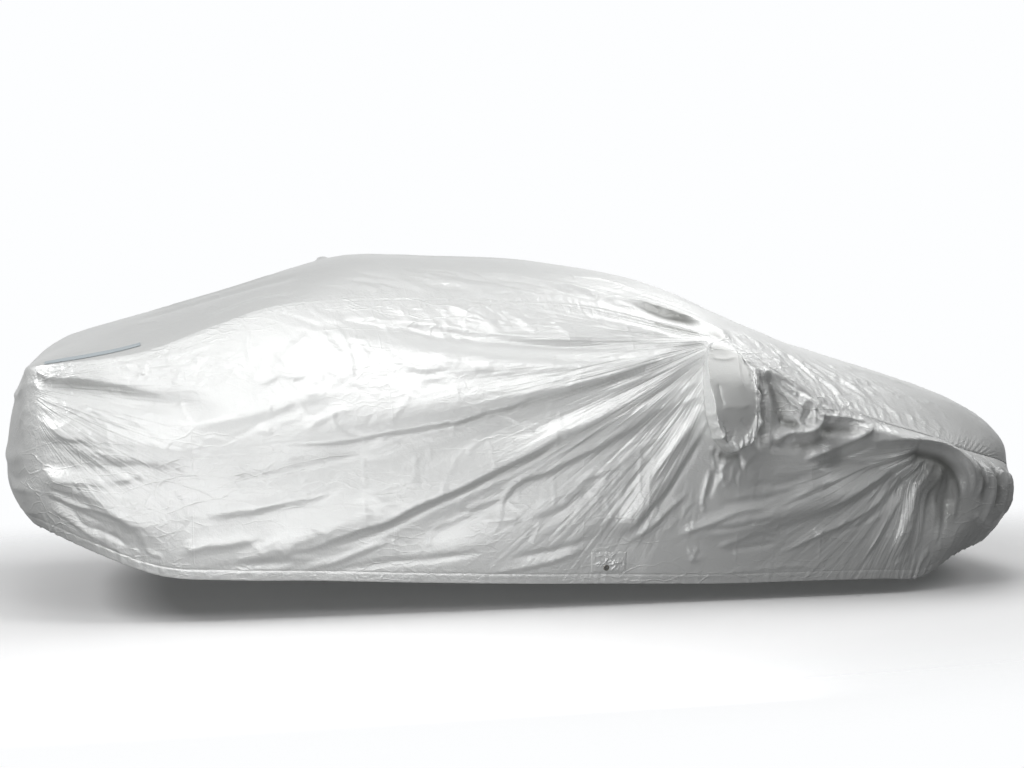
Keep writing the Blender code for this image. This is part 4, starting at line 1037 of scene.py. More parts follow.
TOP_ZONES = [
    CrumpleZone((-0.30, -0.52), (0.55, 0.10), 52, 0.240, 0.0105, 0.0034, -24, 12),
    CrumpleZone((-1.45, -0.60), (0.30, 0.08), 28, 0.090, 0.0062, 0.0016, 15, 25),
    CrumpleZone((1.02, -0.72), (0.22, 0.10), 70, 0.090, 0.0066, 0.0030, -38, 25),
    CrumpleZone((1.36, -0.64), (0.28, 0.14), 70, 0.100, 0.0066, 0.0036, -32, 24),
    CrumpleZone((1.50, -0.25), (0.40, 0.35), 60, 0.120, 0.0070, 0.0019, -18, 40),
    CrumpleZone((0.90, 0.00), (0.30, 0.40), 35, 0.120, 0.0075, 0.0015, 5, 40),
    CrumpleZone((-0.40, 0.50), (0.60, 0.10), 42, 0.105, 0.0062, 0.0016, 18, 16),
    CrumpleZone((1.05, 0.70), (0.25, 0.10), 35, 0.090, 0.0062, 0.0029, 40, 28),
    CrumpleZone((-1.50, 0.00), (0.40, 0.45), 42, 0.120, 0.0075, 0.0015, 10, 45),
    CrumpleZone((-0.40, 0.00), (0.60, 0.35), 28, 0.135, 0.0075, 0.0010, 0, 60),
    CrumpleZone((2.00, -0.45), (0.12, 0.15), 28, 0.075, 0.0062, 0.0025, 60, 25),
    CrumpleZone((2.02, 0.40), (0.12, 0.18), 28, 0.075, 0.0062, 0.0025, -60, 25),
]


@dataclass(frozen=True)
class Pull:
    """A point that draws the cloth into fine streaks, which spread from it like a fan.

    Attributes:
        name: The attribute that carries it on the mesh.
        apex: The point, in (girth, z).
        forward: 1 where the streaks run forward from it, -1 where they run back.
        window: The lowest and the highest angle of a streak, in degrees above level.
        near: Where the streaks start, nearest and full.
        far: Where they fade, from and to.
        radius: Where the angle is measured in true metres.
    """

    name: str
    apex: tuple
    forward: int
    window: tuple
    near: tuple
    far: tuple
    radius: float

    def field(self, girth: np.ndarray, z: np.ndarray) -> np.ndarray:
        """The streaks' own coordinates at each point: across them, along them, and their strength."""
        along, up = (girth - self.apex[0]) * self.forward, z - self.apex[1]
        reach, angle = np.hypot(along, up), np.arctan2(up, along)
        low, high = np.radians(self.window)
        strength = smoothstep(*self.near, reach) * (1 - smoothstep(*self.far, reach))
        strength = strength * smoothstep(low - 0.25, low + 0.05, angle)
        strength = strength * (1 - smoothstep(high - 0.05, high + 0.25, angle))
        return np.stack([angle * self.radius, reach, strength], axis=-1)


PULLS = (
    Pull("pull_mirror", (0.640, 1.020), -1, (-58, 14), (0.03, 0.14), (0.60, 1.70), 0.60),
    Pull("pull_wheel", (1.530, 0.575), -1, (-82, -8), (0.03, 0.12), (0.65, 1.10), 0.42),
    Pull("pull_corner", (-2.240, 0.860), 1, (-50, 14), (0.08, 0.20), (0.35, 1.00), 0.40),
)

# ---------- Meshes ----------


def linked(name: str, bm: bmesh.types.BMesh) -> bpy.types.Object:
    """Makes an object of a finished bmesh and links it to the scene."""
    mesh = bpy.data.meshes.new(name)
    bm.to_mesh(mesh)
    bm.free()
    piece = bpy.data.objects.new(name, mesh)
    bpy.context.scene.collection.objects.link(piece)
    return piece


def store(mesh: bpy.types.Mesh, name: str, values: np.ndarray) -> None:
    """Stores a number, or a vector, for each point of a mesh."""
    kind, key = ("FLOAT_VECTOR", "vector") if values.ndim > 1 else ("FLOAT", "value")
    mesh.attributes.new(name, kind, "POINT").data.foreach_set(key, values.astype(np.float32).ravel())


def grid_piece(
    name: str,
    points: np.ndarray,
    flat: np.ndarray,
    crumple: np.ndarray,
    away_from: tuple,
    holes: np.ndarray | None = None,
    wall: np.ndarray | None = None,
    painted_shade: np.ndarray | None = None,
) -> bpy.types.Object:
    """Makes a sheet of cloth through a grid of points, with the grid operator.

    Args:
        name: The piece's name.
        points: Columns by rows by (x, y, z).
        flat: Columns by rows by (u, v), the cloth's own coordinates in metres.
        crumple: Columns by rows, how crumpled the cloth is, from 0 to 1.
        away_from: A point inside the cover, which the faces turn away from.
        holes: True at grid points that are cut away.
        wall: Columns by rows by (girth, z), where the sheet is part of a side.
        painted_shade: Columns by rows, how much painted shade darkens the cloth's colour in hollows, from 0
            to 1.

    Returns:
        The object.
    """
    columns, rows = points.shape[:2]
    bm = bmesh.new()
    bmesh.ops.create_grid(bm, x_segments=columns - 1, y_segments=rows - 1, size=0.5, calc_uvs=False)
    piece = linked(name, bm)
    mesh = piece.data
    place = np.empty(len(mesh.vertices) * 3, np.float32)
    mesh.vertices.foreach_get("co", place)
    place = place.reshape(-1, 3)
    i = np.rint((place[:, 0] + 0.5) * (columns - 1)).astype(int)
    j = np.rint((place[:, 1] + 0.5) * (rows - 1)).astype(int)
    mesh.vertices.foreach_set("co", points[i, j].astype(np.float32).ravel())
    corner = np.empty(len(mesh.loops), np.int32)
    mesh.loops.foreach_get("vertex_index", corner)
    layer = mesh.uv_layers.new(name="cloth")
    layer.data.foreach_set("uv", flat[i, j][corner].astype(np.float32).ravel())
    store(mesh, "crumple", crumple[i, j])
    # The painted shade in hollows, which the material darkens the cloth's colour with.
    if painted_shade is not None:
        store(mesh, "painted_shade", np.clip(painted_shade, 0, 1)[i, j])
    for pull in PULLS if wall is not None else ():
        store(mesh, pull.name, pull.field(wall[..., 0], wall[..., 1])[i, j])
    mesh.update()
    middle, half = (columns // 2, rows // 2), 2
    a = points[middle[0] + half, middle[1]] - points[middle]
    b = points[middle[0], middle[1] + half] - points[middle]
    if np.dot(np.cross(a, b), points[middle] - np.array(away_from)) < 0:
        mesh.flip_normals()
    if holes is not None:
        bm = bmesh.new()
        bm.from_mesh(mesh)
        bm.verts.ensure_lookup_table()
        cut = [bm.verts[k] for k in np.flatnonzero(holes[i, j])]
        bmesh.ops.delete(bm, geom=cut, context="VERTS")
        bm.to_mesh(mesh)
        bm.free()
    mesh.shade_smooth()
    return piece


def normals_of(points: np.ndarray) -> np.ndarray:
    """Unit normals of a grid of points, on the side where column direction crosses row direction."""
    normal = np.cross(np.gradient(points, axis=0), np.gradient(points, axis=1))
    return normal / np.maximum(np.linalg.norm(normal, axis=-1, keepdims=True), 1e-12)


SEAM_STEPS = np.array([0.0, 0.0025, 0.005, 0.008, 0.012, 0.017, 0.023])
HEM_STEPS = np.array([0.056, 0.048, 0.043, 0.040, 0.0375, 0.035, 0.031, 0.025, 0.018, 0.011, 0.005, 0.0])
HEM_WIDTH = 0.0375  # from the hem's edge to its stitching
HEM_TURN = ((-0.0012, -0.0012), (-0.0030, -0.0008), (-0.0038, 0.006), (-0.0036, 0.018), (-0.0034, 0.034))


def hem_relief(up: np.ndarray) -> np.ndarray:
    """How far the hem's doubled band stands out and its stitching draws in, at heights over its edge."""
    stitch = -0.0011 * bell(up - HEM_WIDTH, 0.0028)
    return stitch + 0.0010 * (1 - smoothstep(HEM_WIDTH - 0.006, HEM_WIDTH + 0.001, up))


def turned_under(edge: np.ndarray, outward: np.ndarray) -> list[np.ndarray]:
    """The rows of the cloth that is turned under at the hem, from its edge inward."""
    return [edge + outward * out + np.array([0, 0, rise]) for out, rise in HEM_TURN]


@dataclass
class SidePanel:
    """The cloth of one side, round to the middle of the nose.

    Attributes:
        side: Which side.
        main: The main folds, as the solid has them.
        creases: All its creases, the placed ones and the scattered ones.
        rows: Rows between the seam and the hem.
        column_step: Between columns.
        fine_step: Between columns round the mirror.
        fine_zone: Girths between which the finer step holds.
        seam_calm: How far below the seam the creases have their full height.
        hem_calm: How far over the hem they start to rise and are full.
        hem_share: The share of their height that is left at the hem.
        gather_pitch: From one gather of the hem to the next, in two waves that overlap.
        pucker_pitch: From one pucker of the seam to the next, likewise.
    """

    side: Side
    main: tuple
    creases: list
    rows: int = 116
    column_step: float = 0.0080
    fine_step: float = 0.0056
    fine_zone: tuple = (0.05, 1.30)
    seam_calm: float = 0.035
    hem_calm: tuple = (0.03, 0.09)
    hem_share: float = 0.35
    gather_pitch: tuple = (0.047, 0.031)
    pucker_pitch: tuple = (0.034, 0.019)

    def columns(self) -> np.ndarray:
        """The girths of the panel's columns."""
        girths = [FORM.tail_corner]
        while girths[-1] < FORM.girths[-1]:
            fine = self.fine_zone[0] < girths[-1] < self.fine_zone[1]
            girths.append(girths[-1] + (self.fine_step if fine else self.column_step))
        girths[-1] = float(FORM.girths[-1])
        return np.array(girths)

    def surface(self, girth: np.ndarray, v: np.ndarray) -> tuple:
        """The cloth's outer face at a grid of points.

        Args:
            girth: Columns by rows.
            v: Columns by rows, how far down from the seam.

        Returns:
            The points (x, out, z) and the outward direction.
        """
        points, outward = FORM.wall(self.main, girth, v)
        z = points[..., 2]
        seam, hem = FORM.edges(girth)
        calm = smoothstep(0.0, self.seam_calm, seam - z) * FORM.clear_of_patch(girth, z)
        calm = calm * (self.hem_share + (1 - self.hem_share) * smoothstep(*self.hem_calm, z - hem))
        lift = heights(self.creases, girth, z) * calm
        lift = lift + self.hem_waves(girth, z - hem) + self.seam_puckers(girth, seam - z)
        return points + outward * (lift + CLOTH)[..., None], outward

    def hem_waves(self, girth: np.ndarray, up: np.ndarray) -> np.ndarray:
        """The gathers of the elastic in the hem, at the front and the rear."""
        front = smoothstep(1.30, 1.55, girth)
        rear = 1 - smoothstep(-1.75, -1.45, girth)
        uneven = 1 + 0.5 * np.sin(girth * 17.0 + 0.6) + 0.3 * np.sin(girth * 41.0)
        wave = np.sin(math.tau * girth / self.gather_pitch[0] + 1.3 * np.sin(girth * 9.0))
        wave = wave + 0.5 * np.sin(math.tau * girth / self.gather_pitch[1] + 2.0)
        strength = 0.0018 * front + 0.0008 * rear + 0.0004
        return strength * uneven * wave * bell(up, 0.075)

    def seam_puckers(self, girth: np.ndarray, down: np.ndarray) -> np.ndarray:
        """The puckers that the stitching draws along the seam."""
        wave = np.sin(math.tau * girth / self.pucker_pitch[0] + 1.7 * np.sin(girth * 13.0))
        wave = wave + 0.6 * np.sin(math.tau * girth / self.pucker_pitch[1] + 2.1 * np.sin(girth * 7.0))
        uneven = 0.6 + 0.5 * np.sin(girth * 6.1 + 1.0)
        front = smoothstep(0.95, 1.25, girth)
        reach = 0.034 + 0.022 * front
        strength = (0.0006 + 0.0014 * front) * smoothstep(0, 0.006, down)
        return strength * uneven * wave * bell(down, reach, 1.5)

    def v_grid(self, girth: np.ndarray) -> np.ndarray:
        """How far down each row of each column is, with close rows at the seam and the hem."""
        seam, hem = FORM.edges(girth)
        height = (seam - hem)[:, None]
        top = SEAM_STEPS[None, :] / height
        bottom = 1 - HEM_STEPS[None, :] / height
        share = np.linspace(0, 1, self.rows + 2)[None, 1:-1]
        between = top[:, -1:] + (bottom[:, :1] - top[:, -1:]) * share
        return np.concatenate([top, between, bottom], axis=1)

    def build(self) -> bpy.types.Object:
        """Makes the panel, its seam edge rolled in and its hem turned under."""
        girths = self.columns()
        v = self.v_grid(girths)
        girth = np.broadcast_to(girths[:, None], v.shape)
        points, outward = self.surface(girth, v)
        z = points[..., 2]
        seam, hem = FORM.edges(girth)
        down = seam - z
        front = smoothstep(1.0, 1.4, girth)
        roll = (-0.0018 - 0.0030 * front) * bell(down, 0.0040)
        roll = roll - (0.0004 + 0.0012 * front) * bell(down - 0.012, 0.003)
        points = points + outward * (roll + hem_relief(z - hem))[..., None]
        turned = turned_under(points[:, -1], outward[:, -1])
        points = np.concatenate([points, np.stack(turned, axis=1)], axis=1)
        extra = len(HEM_TURN)
        drop = np.concatenate([down, np.repeat(down[:, -1:], extra, 1) + 0.005 * np.arange(1, extra + 1)], 1)
        flat = np.stack([np.broadcast_to(girths[:, None], drop.shape), drop], axis=-1)
        crumple = self.crumple(girth, z)
        crumple = np.concatenate([crumple, np.repeat(crumple[:, -1:], extra, 1)], 1)
        holes = np.zeros(points.shape[:2], bool)
        holes[:, : v.shape[1]] = self.cut_away(girth, z)
        wall = np.stack([np.broadcast_to(girths[:, None], points.shape[:2]), points[..., 2]], axis=-1)
        points = points * self.side.mirror
        # Painted shade in the side's hollows and under its folds, which darkens the cloth's colour there.
        painted_shade = heights(SIDE_PAINTED_SHADE, wall[..., 0], wall[..., 1])
        return grid_piece(
            f"cloth_side_{self.side.label}", points, flat, crumple, INSIDE, holes, wall, painted_shade
        )

    def crumple(self, girth: np.ndarray, z: np.ndarray) -> np.ndarray:
        """How crumpled the cloth is, from 0 to 1."""
        seam, hem = FORM.edges(girth)
        mirror = bell(girth - 0.85, 0.25) * bell(z - 0.72, 0.18)
        edge = bell(seam - z, 0.05) * 0.6 + bell(z - hem, 0.05) * 0.7
        ends = np.maximum(smoothstep(1.3, 1.8, girth), 1 - smoothstep(-2.1, -1.5, girth)) * 0.35
        return np.clip(0.35 + mirror * 0.65 + edge + ends, 0, 1)

    def cut_away(self, girth: np.ndarray, z: np.ndarray) -> np.ndarray:
        """Where the panel is open: under the mirror bag and at the eyelet."""
        bag = MirrorBag.inside(girth, z, 0.955)
        return bag | (EYELET.gap(girth, z) < EYELET.flange / 2 + 0.001)


@dataclass
class CentrePanel:
    """The length of cloth from the tongue on the nose over the bonnet, roof and boot to the tail hem.

    Attributes:
        half_columns: Columns from its middle to each seam.
        step: Between the rows of the top.
        tail_rows: Rows of the tail above the hem's own.
        tail_height: The tail's height, which the hem's rows are spaced by.
    """

    half_columns: int = 74
    step: float = 0.0078
    tail_rows: int = 66
    tail_height: float = 0.61

    def tail(self, side: SidePanel, share: np.ndarray) -> tuple:
        """The tail's half on one side: points (x, out, z) by row, hem to seam, and column.

        Args:
            side: The side panel whose folds run on round the corner.
            share: Shares of the way from the middle to the corner.

        Returns:
            The points and the outward direction.
        """
        girths = FORM.end_girths(FORM.girths[0], FORM.tail_corner, share)
        hem_rows = 1 - HEM_STEPS[::-1] / self.tail_height
        v = np.concatenate([hem_rows, np.linspace(hem_rows[-1], 0.0, self.tail_rows)[1:]])
        girth, v = np.broadcast_arrays(girths[None, :], v[:, None])
        points, outward = FORM.wall(side.main, girth, v)
        z = points[..., 2]
        seam, hem = FORM.edges(girth)
        lift = heights(side.creases + TAIL_CREASES, girth, z) * smoothstep(0.0, 0.05, seam - z)
        lift = lift + side.hem_waves(girth, z - hem)
        return points + outward * (lift + hem_relief(z - hem) + CLOTH)[..., None], outward

    def build(self, right: SidePanel, left: SidePanel) -> bpy.types.Object:
        """Makes the panel from the two halves of the tail and the top."""
        columns = self.half_columns
        even = np.linspace(0, 1, columns + 1)
        share = even + 0.35 / math.pi / 2 * np.sin(2 * math.pi * even) * (even > 0.5)
        share[-4:] = [0.985, 0.9915, 0.9965, 1.0]
        sign = np.concatenate([-np.ones(columns), np.ones(columns + 1)])
        pick = np.concatenate([np.arange(columns, 0, -1), np.arange(columns + 1)])
        halves = {panel.side: self.tail(panel, share) for panel in (right, left)}
        tail = np.empty((len(halves[Side.RIGHT][0]), len(pick), 3))
        outward = np.empty_like(tail)
        for side, (points, away) in halves.items():
            mine = sign == side.value
            tail[:, mine] = (points * side.mirror)[:, pick[mine]]
            outward[:, mine] = (away * side.mirror)[:, pick[mine]]
        turned = turned_under(tail[0], outward[0])[::-1]

        girths = np.arange(FORM.tail_corner, FORM.nose_corner, self.step)[1:]
        girths = np.concatenate([girths, [FORM.nose_corner]])
        top = FORM.top(girths, share)[:, pick]
        top[..., 1] *= sign[None, :]
        normal = normals_of(top)
        normal *= np.sign(normal[..., 2:3].mean())
        x, y = top[..., 0], top[..., 1]
        inward = 1 - share[pick]
        inset = np.abs(top[:, :1, 1]) * inward[None, :]
        calm = smoothstep(0.0, 0.03, inset) * smoothstep(0.0, 0.05, girths - FORM.tail_corner)[:, None]
        calm = calm * (1 - smoothstep(FORM.nose_corner - 0.10, FORM.nose_corner, girths))[:, None]
        lift = sum(fold.height(x, y) for fold in TOP_MAIN) * smoothstep(0.0, 0.25, inward)[None, :]
        lift = lift + heights(self.creases(), x, y) * calm
        lift = lift + right.seam_puckers(np.broadcast_to(girths[:, None], x.shape), inset)
        lift = lift - 0.0026 * bell(inset, 0.0040) + CLOTH
        points = np.concatenate([np.array(turned), tail, top + normal * lift[..., None]])
        points = self.eased(points, len(turned) + len(tail))

        crumple = np.broadcast_to(0.45 + 0.5 * bell(inward * 0.75, 0.06), points.shape[:2])
        run = np.concatenate([[0.0], np.cumsum(np.linalg.norm(np.diff(points[:, columns], axis=0), axis=1))])
        flat = np.stack(np.broadcast_arrays(run[:, None], (share[pick] * sign * 0.9)[None, :]), axis=-1)
        # Painted shade under the pillar's edge on the top, which darkens the cloth's colour there.
        painted_shade = heights(TOP_PAINTED_SHADE, points[..., 0], -np.abs(points[..., 1]))
        return grid_piece("cloth_centre", points, flat, crumple, INSIDE, painted_shade=painted_shade)

    def eased(self, points: np.ndarray, edge: int) -> np.ndarray:
        """Rounds the line where the tail meets the boot."""
        for _ in range(6):
            near = points[edge - 5 : edge + 5].copy()
            points[edge - 4 : edge + 4] = (near[:-2] + 2 * near[1:-1] + near[2:]) / 4
        return points

    def creases(self) -> list[Crease]:
        """All the creases of the top."""
        packing = PackingFolds().creases((-2.0, 2.0), (-0.80, 0.80), SEED + 3)
        return TOP_CREASES + scattered(TOP_ZONES, SEED + 100) + packing


TAIL_CREASES = [
    ridge(20, 9, -2200, 870, -2320, 820, -2500, 800, -2750, 815, steep=0.3),
    sharp(12, 6, -2160, 790, -2240, 745, -2300, 690, steep=0.3),
    sharp(10, 6, -2160, 745, -2220, 700, -2260, 655, steep=0.3),
    sharp(10, 5, -2150, 700, -2200, 650, -2220, 600, steep=0.3),
    ridge(14, 6, -2140, 460, -2300, 450, -2500, 440, steep=0.3),
    soft(30, 8, -2180, 600, -2400, 560, -2800, 580, steep=0.2),
    soft(20, -6, -2160, 520, -2320, 490, -2600, 500),
    ridge(16, 5, -2160, 380, -2300, 360, -2550, 370, steep=0.2),
]


@dataclass
class MirrorBag:
    """The bag sewn into the side panel for the door mirror.

    The mirror's housing pushes out a flat face, and the cloth round the face hangs slack and crumpled.

    Attributes:
        panel: The side panel that it is sewn into.
        around: Columns round it.
        rings: Rings from its rim to the middle of its face.
    """

    panel: SidePanel
    around: int = 208
    rings: int = 76

    centre = (0.606, 0.790)
    half_width = 0.106
    half_height = 0.214
    taper = 0.24  # how much narrower its top is
    stand_out = 0.122  # of the mirror's housing
    allowance = 0.012  # of the cloth over it
    face_from = 0.50  # the share of the rings where the face starts
    wall_from = 0.08  # and where its wall starts
    sag = 0.020
    slack_size = (0.98, 0.10)  # of the slack cloth, once round and from the rim to the face
    face = (
        # turn from forward in degrees, then forward and up from the centre, for the face's edge
        (-180, -0.108, 0.020),
        (-150, -0.098, -0.055),
        (-120, -0.056, -0.118),
        (-90, 0.000, -0.152),
        (-60, 0.040, -0.122),
        (-30, 0.054, -0.068),
        (0, 0.062, 0.020),
        (28, 0.074, 0.100),
        (55, 0.058, 0.158),
        (90, -0.014, 0.200),
        (122, -0.064, 0.160),
        (150, -0.097, 0.092),
        (180, -0.108, 0.020),
    )

    @classmethod
    def width_at(cls, up: np.ndarray) -> np.ndarray:
        """Half the outline's width at an angle whose sine is up."""
        return cls.half_width * (1 - cls.taper * (up + 0.4) / 1.4 * (up > -0.4))

    @classmethod
    def inside(cls, girth: np.ndarray, z: np.ndarray, size: float) -> np.ndarray:
        """Whether points lie inside the bag's outline, drawn at that size."""
        dx, dz = girth - cls.centre[0], z - cls.centre[1]
        rough = np.hypot(dx / cls.half_width, dz / cls.half_height)
        up = np.clip(dz / cls.half_height / np.maximum(rough, 1e-6), -1, 1)
        for _ in range(4):
            width = cls.width_at(up)
            rough = np.hypot(dx / width, dz / cls.half_height)
            up = np.clip(dz / cls.half_height / np.maximum(rough, 1e-6), -1, 1)
        return rough < size

    def creases(self) -> list[Crease]:
        """The face's own creases, in (girth, z)."""
        return [
            ridge(14, 3.5, 662, 960, 640, 900, 625, 850, 640, 790, steep=0.3),
            ridge(12, 3, 520, 735, 560, 742, 600, 738, 650, 760, steep=0.4),
            sharp(9, -3.5, 600, 700, 640, 670, 664, 676, steep=0.2),
            sharp(6, 2.5, 545, 930, 600, 925, 650, 938, steep=0.3),
            sharp(8, -3, 530, 830, 526, 780, 534, 745),
        ]

    def slack(self) -> list[Crease]:
        """The slack cloth's creases, in (distance round, distance in) from the foremost point."""
        places = (
            ((0.02, 0.060), (0.11, 0.035), 44),
            ((0.95, 0.060), (0.10, 0.035), 40),
            ((0.78, 0.055), (0.08, 0.035), 30),
            ((0.62, 0.045), (0.08, 0.030), 16),
        )
        return scattered([CrumpleZone(*place, 0.060, 0.0080, 0.0048, 30, 55) for place in places], SEED + 61)

    def build(self) -> bpy.types.Object:
        """Makes the bag, its rim lying on the panel round the hole."""
        angle = np.linspace(0, 2 * math.pi, self.around + 1)
        ring = np.linspace(0, 1, self.rings)
        rim_a = self.width_at(np.sin(angle)) * np.cos(angle)
        rim_b = self.half_height * np.sin(angle)
        table = np.array(self.face)
        turn = (np.degrees(angle) + 180) % 360 - 180
        face = smooth_through(table[:, 0], table[:, 1:], turn)
        to_face = smoothstep(self.wall_from, self.face_from, ring)[None, :]
        inner = np.clip((ring - self.face_from) / (1 - self.face_from), 0, 1)[None, :]
        middle = face[:-1].mean(0)
        size = 1.012 - 0.012 * smoothstep(0, 0.06, ring)[None, :]
        low = smoothstep(0.2, 1.0, -np.sin(angle))[:, None]
        belly = np.sin(math.pi * np.clip((ring - 0.05) / self.face_from, 0, 1))[None, :]
        belly = belly * self.sag * (0.35 + low)
        place = []
        for axis, rim in ((0, rim_a), (1, rim_b)):
            edge = face[:, axis][:, None]
            at = rim[:, None] * size * (1 - to_face) + edge * to_face
            at = at + belly * (rim / np.hypot(rim_a, rim_b))[:, None]
            place.append(at + (middle[axis] - edge) * inner)
        girth, z = self.centre[0] + place[0], self.centre[1] + place[1]
        base, outward = FORM.wall(self.panel.main, girth, FORM.v_at(girth, z))
        seam, _ = FORM.edges(girth)
        lift = heights(self.panel.creases, girth, z) * smoothstep(0.0, self.panel.seam_calm, seam - z)
        lift = lift * (1 - smoothstep(self.wall_from * 0.6, self.wall_from * 1.6, ring))[None, :]
        own = heights(self.creases(), girth, z) * to_face
        up = face[:, 1][:, None] * (1 - inner) + middle[1] * inner
        stand = self.stand_out * (1 - 0.92 * smoothstep(-0.05, 0.25, up))
        stand = stand * (1 - 0.30 * smoothstep(0.04, 0.16, -up))
        out = (stand + self.allowance) * smoothstep(0.0, 0.55, to_face) - 0.003 * smoothstep(0.0, 0.5, inner)
        points = base + outward * (lift + own + CLOTH + 0.0012)[..., None]
        points[..., 1] += out
        points[-1] = points[0]
        once_round, deep = self.slack_size
        girdle = angle[:, None] / math.tau * once_round
        girdle, depth = np.broadcast_arrays(girdle, ring[None, :] / self.face_from * deep)
        creases = self.slack()
        slack = sum(heights(creases, girdle + turn, depth) for turn in (0, once_round, -once_round))
        slack = slack * (smoothstep(0.06, 0.16, ring) * (1 - smoothstep(0.52, 0.62, ring)))[None, :]
        normal = normals_of(points)
        normal = normal * np.sign(normal[..., 1].mean())
        points = points + normal * slack[..., None]
        points = points - outward * (0.0012 * bell(ring - 0.055, 0.012))[None, :, None]
        points[-1] = points[0]
        flat = np.stack([girth, z], axis=-1)
        crumple = np.clip(0.10 + 0.90 * (1 - smoothstep(0.46, 0.60, ring))[None, :] + 0 * girth, 0, 1)
        wall = np.stack([girth, z + 10 * to_face], axis=-1)
        points = points * self.panel.side.mirror
        piece = grid_piece(
            f"cloth_mirror_bag_{self.panel.side.label}", points, flat, crumple,
            (self.centre[0], 0.0, self.centre[1]), wall=wall,
            # Painted shade on the bag's flat face, rising from almost none at its bottom to full at its top.
            painted_shade=0.55 * smoothstep(0.42, 0.55, ring)[None, :] * smoothstep(-0.2, 0.12, up + 0 * girth),
        )
        return closed_round(piece)


def closed_round(piece: bpy.types.Object) -> bpy.types.Object:
    """Joins the first and last columns of a ring-shaped sheet, and the points at its pole."""
    bm = bmesh.new()
    bm.from_mesh(piece.data)
    bmesh.ops.remove_doubles(bm, verts=bm.verts, dist=0.00002)
    bm.to_mesh(piece.data)
    bm.free()
    piece.data.shade_smooth()
    return piece


@dataclass
class EyeletPatch:
    """The patch sewn round the eyelet, a little puckered by its stitching.

    Attributes:
        panel: The side panel that it is sewn on.
        steps: Grid points along it and up it.
    """

    panel: SidePanel
    steps: tuple = (76, 44)

    def build(self) -> bpy.types.Object:
        """Makes the patch, open at the eyelet."""
        width, height = EYELET.patch
        middle = EYELET.patch_middle
        u, w = np.linspace(-0.5, 0.5, self.steps[0]), np.linspace(-0.5, 0.5, self.steps[1])
        girth, z = np.meshgrid(middle[0] + width * u, middle[1] + height * w, indexing="ij")
        ragged = 0.0022 * np.sin(girth * 210) + 0.0015 * np.sin(girth * 470 + 1)
        z = z + ragged * np.sign(z - middle[1]) * smoothstep(0.030, 0.042, np.abs(z - middle[1]))
        points, outward = FORM.wall(self.panel.main, girth, FORM.v_at(girth, z))
        edge = np.minimum((0.5 - np.abs(u)[:, None]) * width, (0.5 - np.abs(w)[None, :]) * height)
        away = EYELET.gap(girth, z)
        zone = CrumpleZone(middle, (0.055, 0.030), 90, 0.030, 0.0030, 0.0016, 30, 60)
        ruck = heights(zone.creases(SEED + 40), girth, z) * smoothstep(0.013, 0.024, away)
        ruck = np.abs(ruck) * smoothstep(0.0, 0.010, edge)
        stitch = -0.0006 * bell(edge - 0.005, 0.0014)
        lift = 2 * CLOTH + EYELET.lift + ruck + stitch * smoothstep(0.013, 0.02, away)
        lift = lift - (CLOTH + EYELET.lift * 0.4) * (1 - smoothstep(0.0, 0.0035, edge))
        points = points + outward * lift[..., None]
        points = points * self.panel.side.mirror
        flat = np.stack([girth, z], axis=-1)
        return grid_piece(
            f"cloth_eyelet_patch_{self.panel.side.label}", points, flat, np.full(girth.shape, 0.12),
            (EYELET.girth, 0.0, EYELET.height), away < EYELET.tube / 2 + 0.0006,
        )


@dataclass
class ReflectiveStrip:
    """The narrow strip beside the seam at the tail corner, stuck on the centre panel."""

    side: Side
    start: float = -2.085
    length: float = 0.355
    width: float = 0.030
    from_seam: tuple = (0.022, 0.075)
    lift: float = 0.0024
    over: float = 0.09  # how far above the seam it starts, before it is laid down

    def build(self, panel: bpy.types.Object) -> bpy.types.Object:
        """Lays the strip on the finished centre panel.

        Args:
            panel: The centre panel that it lies on.

        Returns:
            The strip.
        """
        share, shift = np.linspace(0, 1, 121), np.linspace(-0.5, 0.5, 15)
        fine = np.linspace(FORM.tail_corner, FORM.tail_corner + 2 * self.length, 400)
        seam = FORM.bare(fine, np.zeros_like(fine))
        x = np.broadcast_to((self.start + self.length * share)[:, None], (len(share), len(shift)))
        inset = self.from_seam[0] + (self.from_seam[1] - self.from_seam[0]) * share
        out = np.interp(x[:, 0], seam[:, 0], seam[:, 1]) - inset
        out = out[:, None] + shift[None, :] * self.width
        high = np.interp(x, seam[:, 0], seam[:, 2]) + self.over
        points = np.stack([x, out * self.side.value, high], axis=-1)
        flat = np.stack(np.broadcast_arrays(x, shift[None, :] * self.width), axis=-1)
        piece = grid_piece(
            f"strip_reflective_{self.side.label}", points, flat, np.full(x.shape, 0.3), (-1.9, 0, 0.3)
        )
        lay = piece.modifiers.new("lay_on_cloth", "SHRINKWRAP")
        lay.target = panel
        lay.wrap_method, lay.wrap_mode = "PROJECT", "ABOVE_SURFACE"
        lay.use_project_z = lay.use_negative_direction = True
        lay.use_positive_direction = False
        lay.offset = self.lift
        return applied(piece)


def applied(piece: bpy.types.Object) -> bpy.types.Object:
    """Turns a piece's modifiers into its mesh."""
    bpy.context.view_layer.update()
    source = piece.evaluated_get(bpy.context.evaluated_depsgraph_get())
    mesh = bpy.data.meshes.new_from_object(source)
    piece.modifiers.clear()
    piece.data = mesh
    return piece


# ---------- Finishes ----------

Socket = bpy.types.NodeSocket


def fill(node: bpy.types.Node, inputs: dict) -> None:
    """Links or sets a node's inputs, each by its name or number, to an output socket or a value."""
    for key, value in inputs.items():
        if isinstance(value, Socket):
            node.id_data.links.new(value, node.inputs[key])
        else:
            node.inputs[key].default_value = value


def add_node(tree: bpy.types.NodeTree, kind: str, inputs: dict | None = None, **settings) -> bpy.types.Node:
    """Adds a node.

    Args:
        tree: The node tree.
        kind: The node's type.
        inputs: Input name or number to an output socket or a value.
        settings: Properties of the node.

    Returns:
        The node.
    """
    node = tree.nodes.new(kind)
    for name, value in settings.items():
        setattr(node, name, value)
    fill(node, inputs or {})
    return node


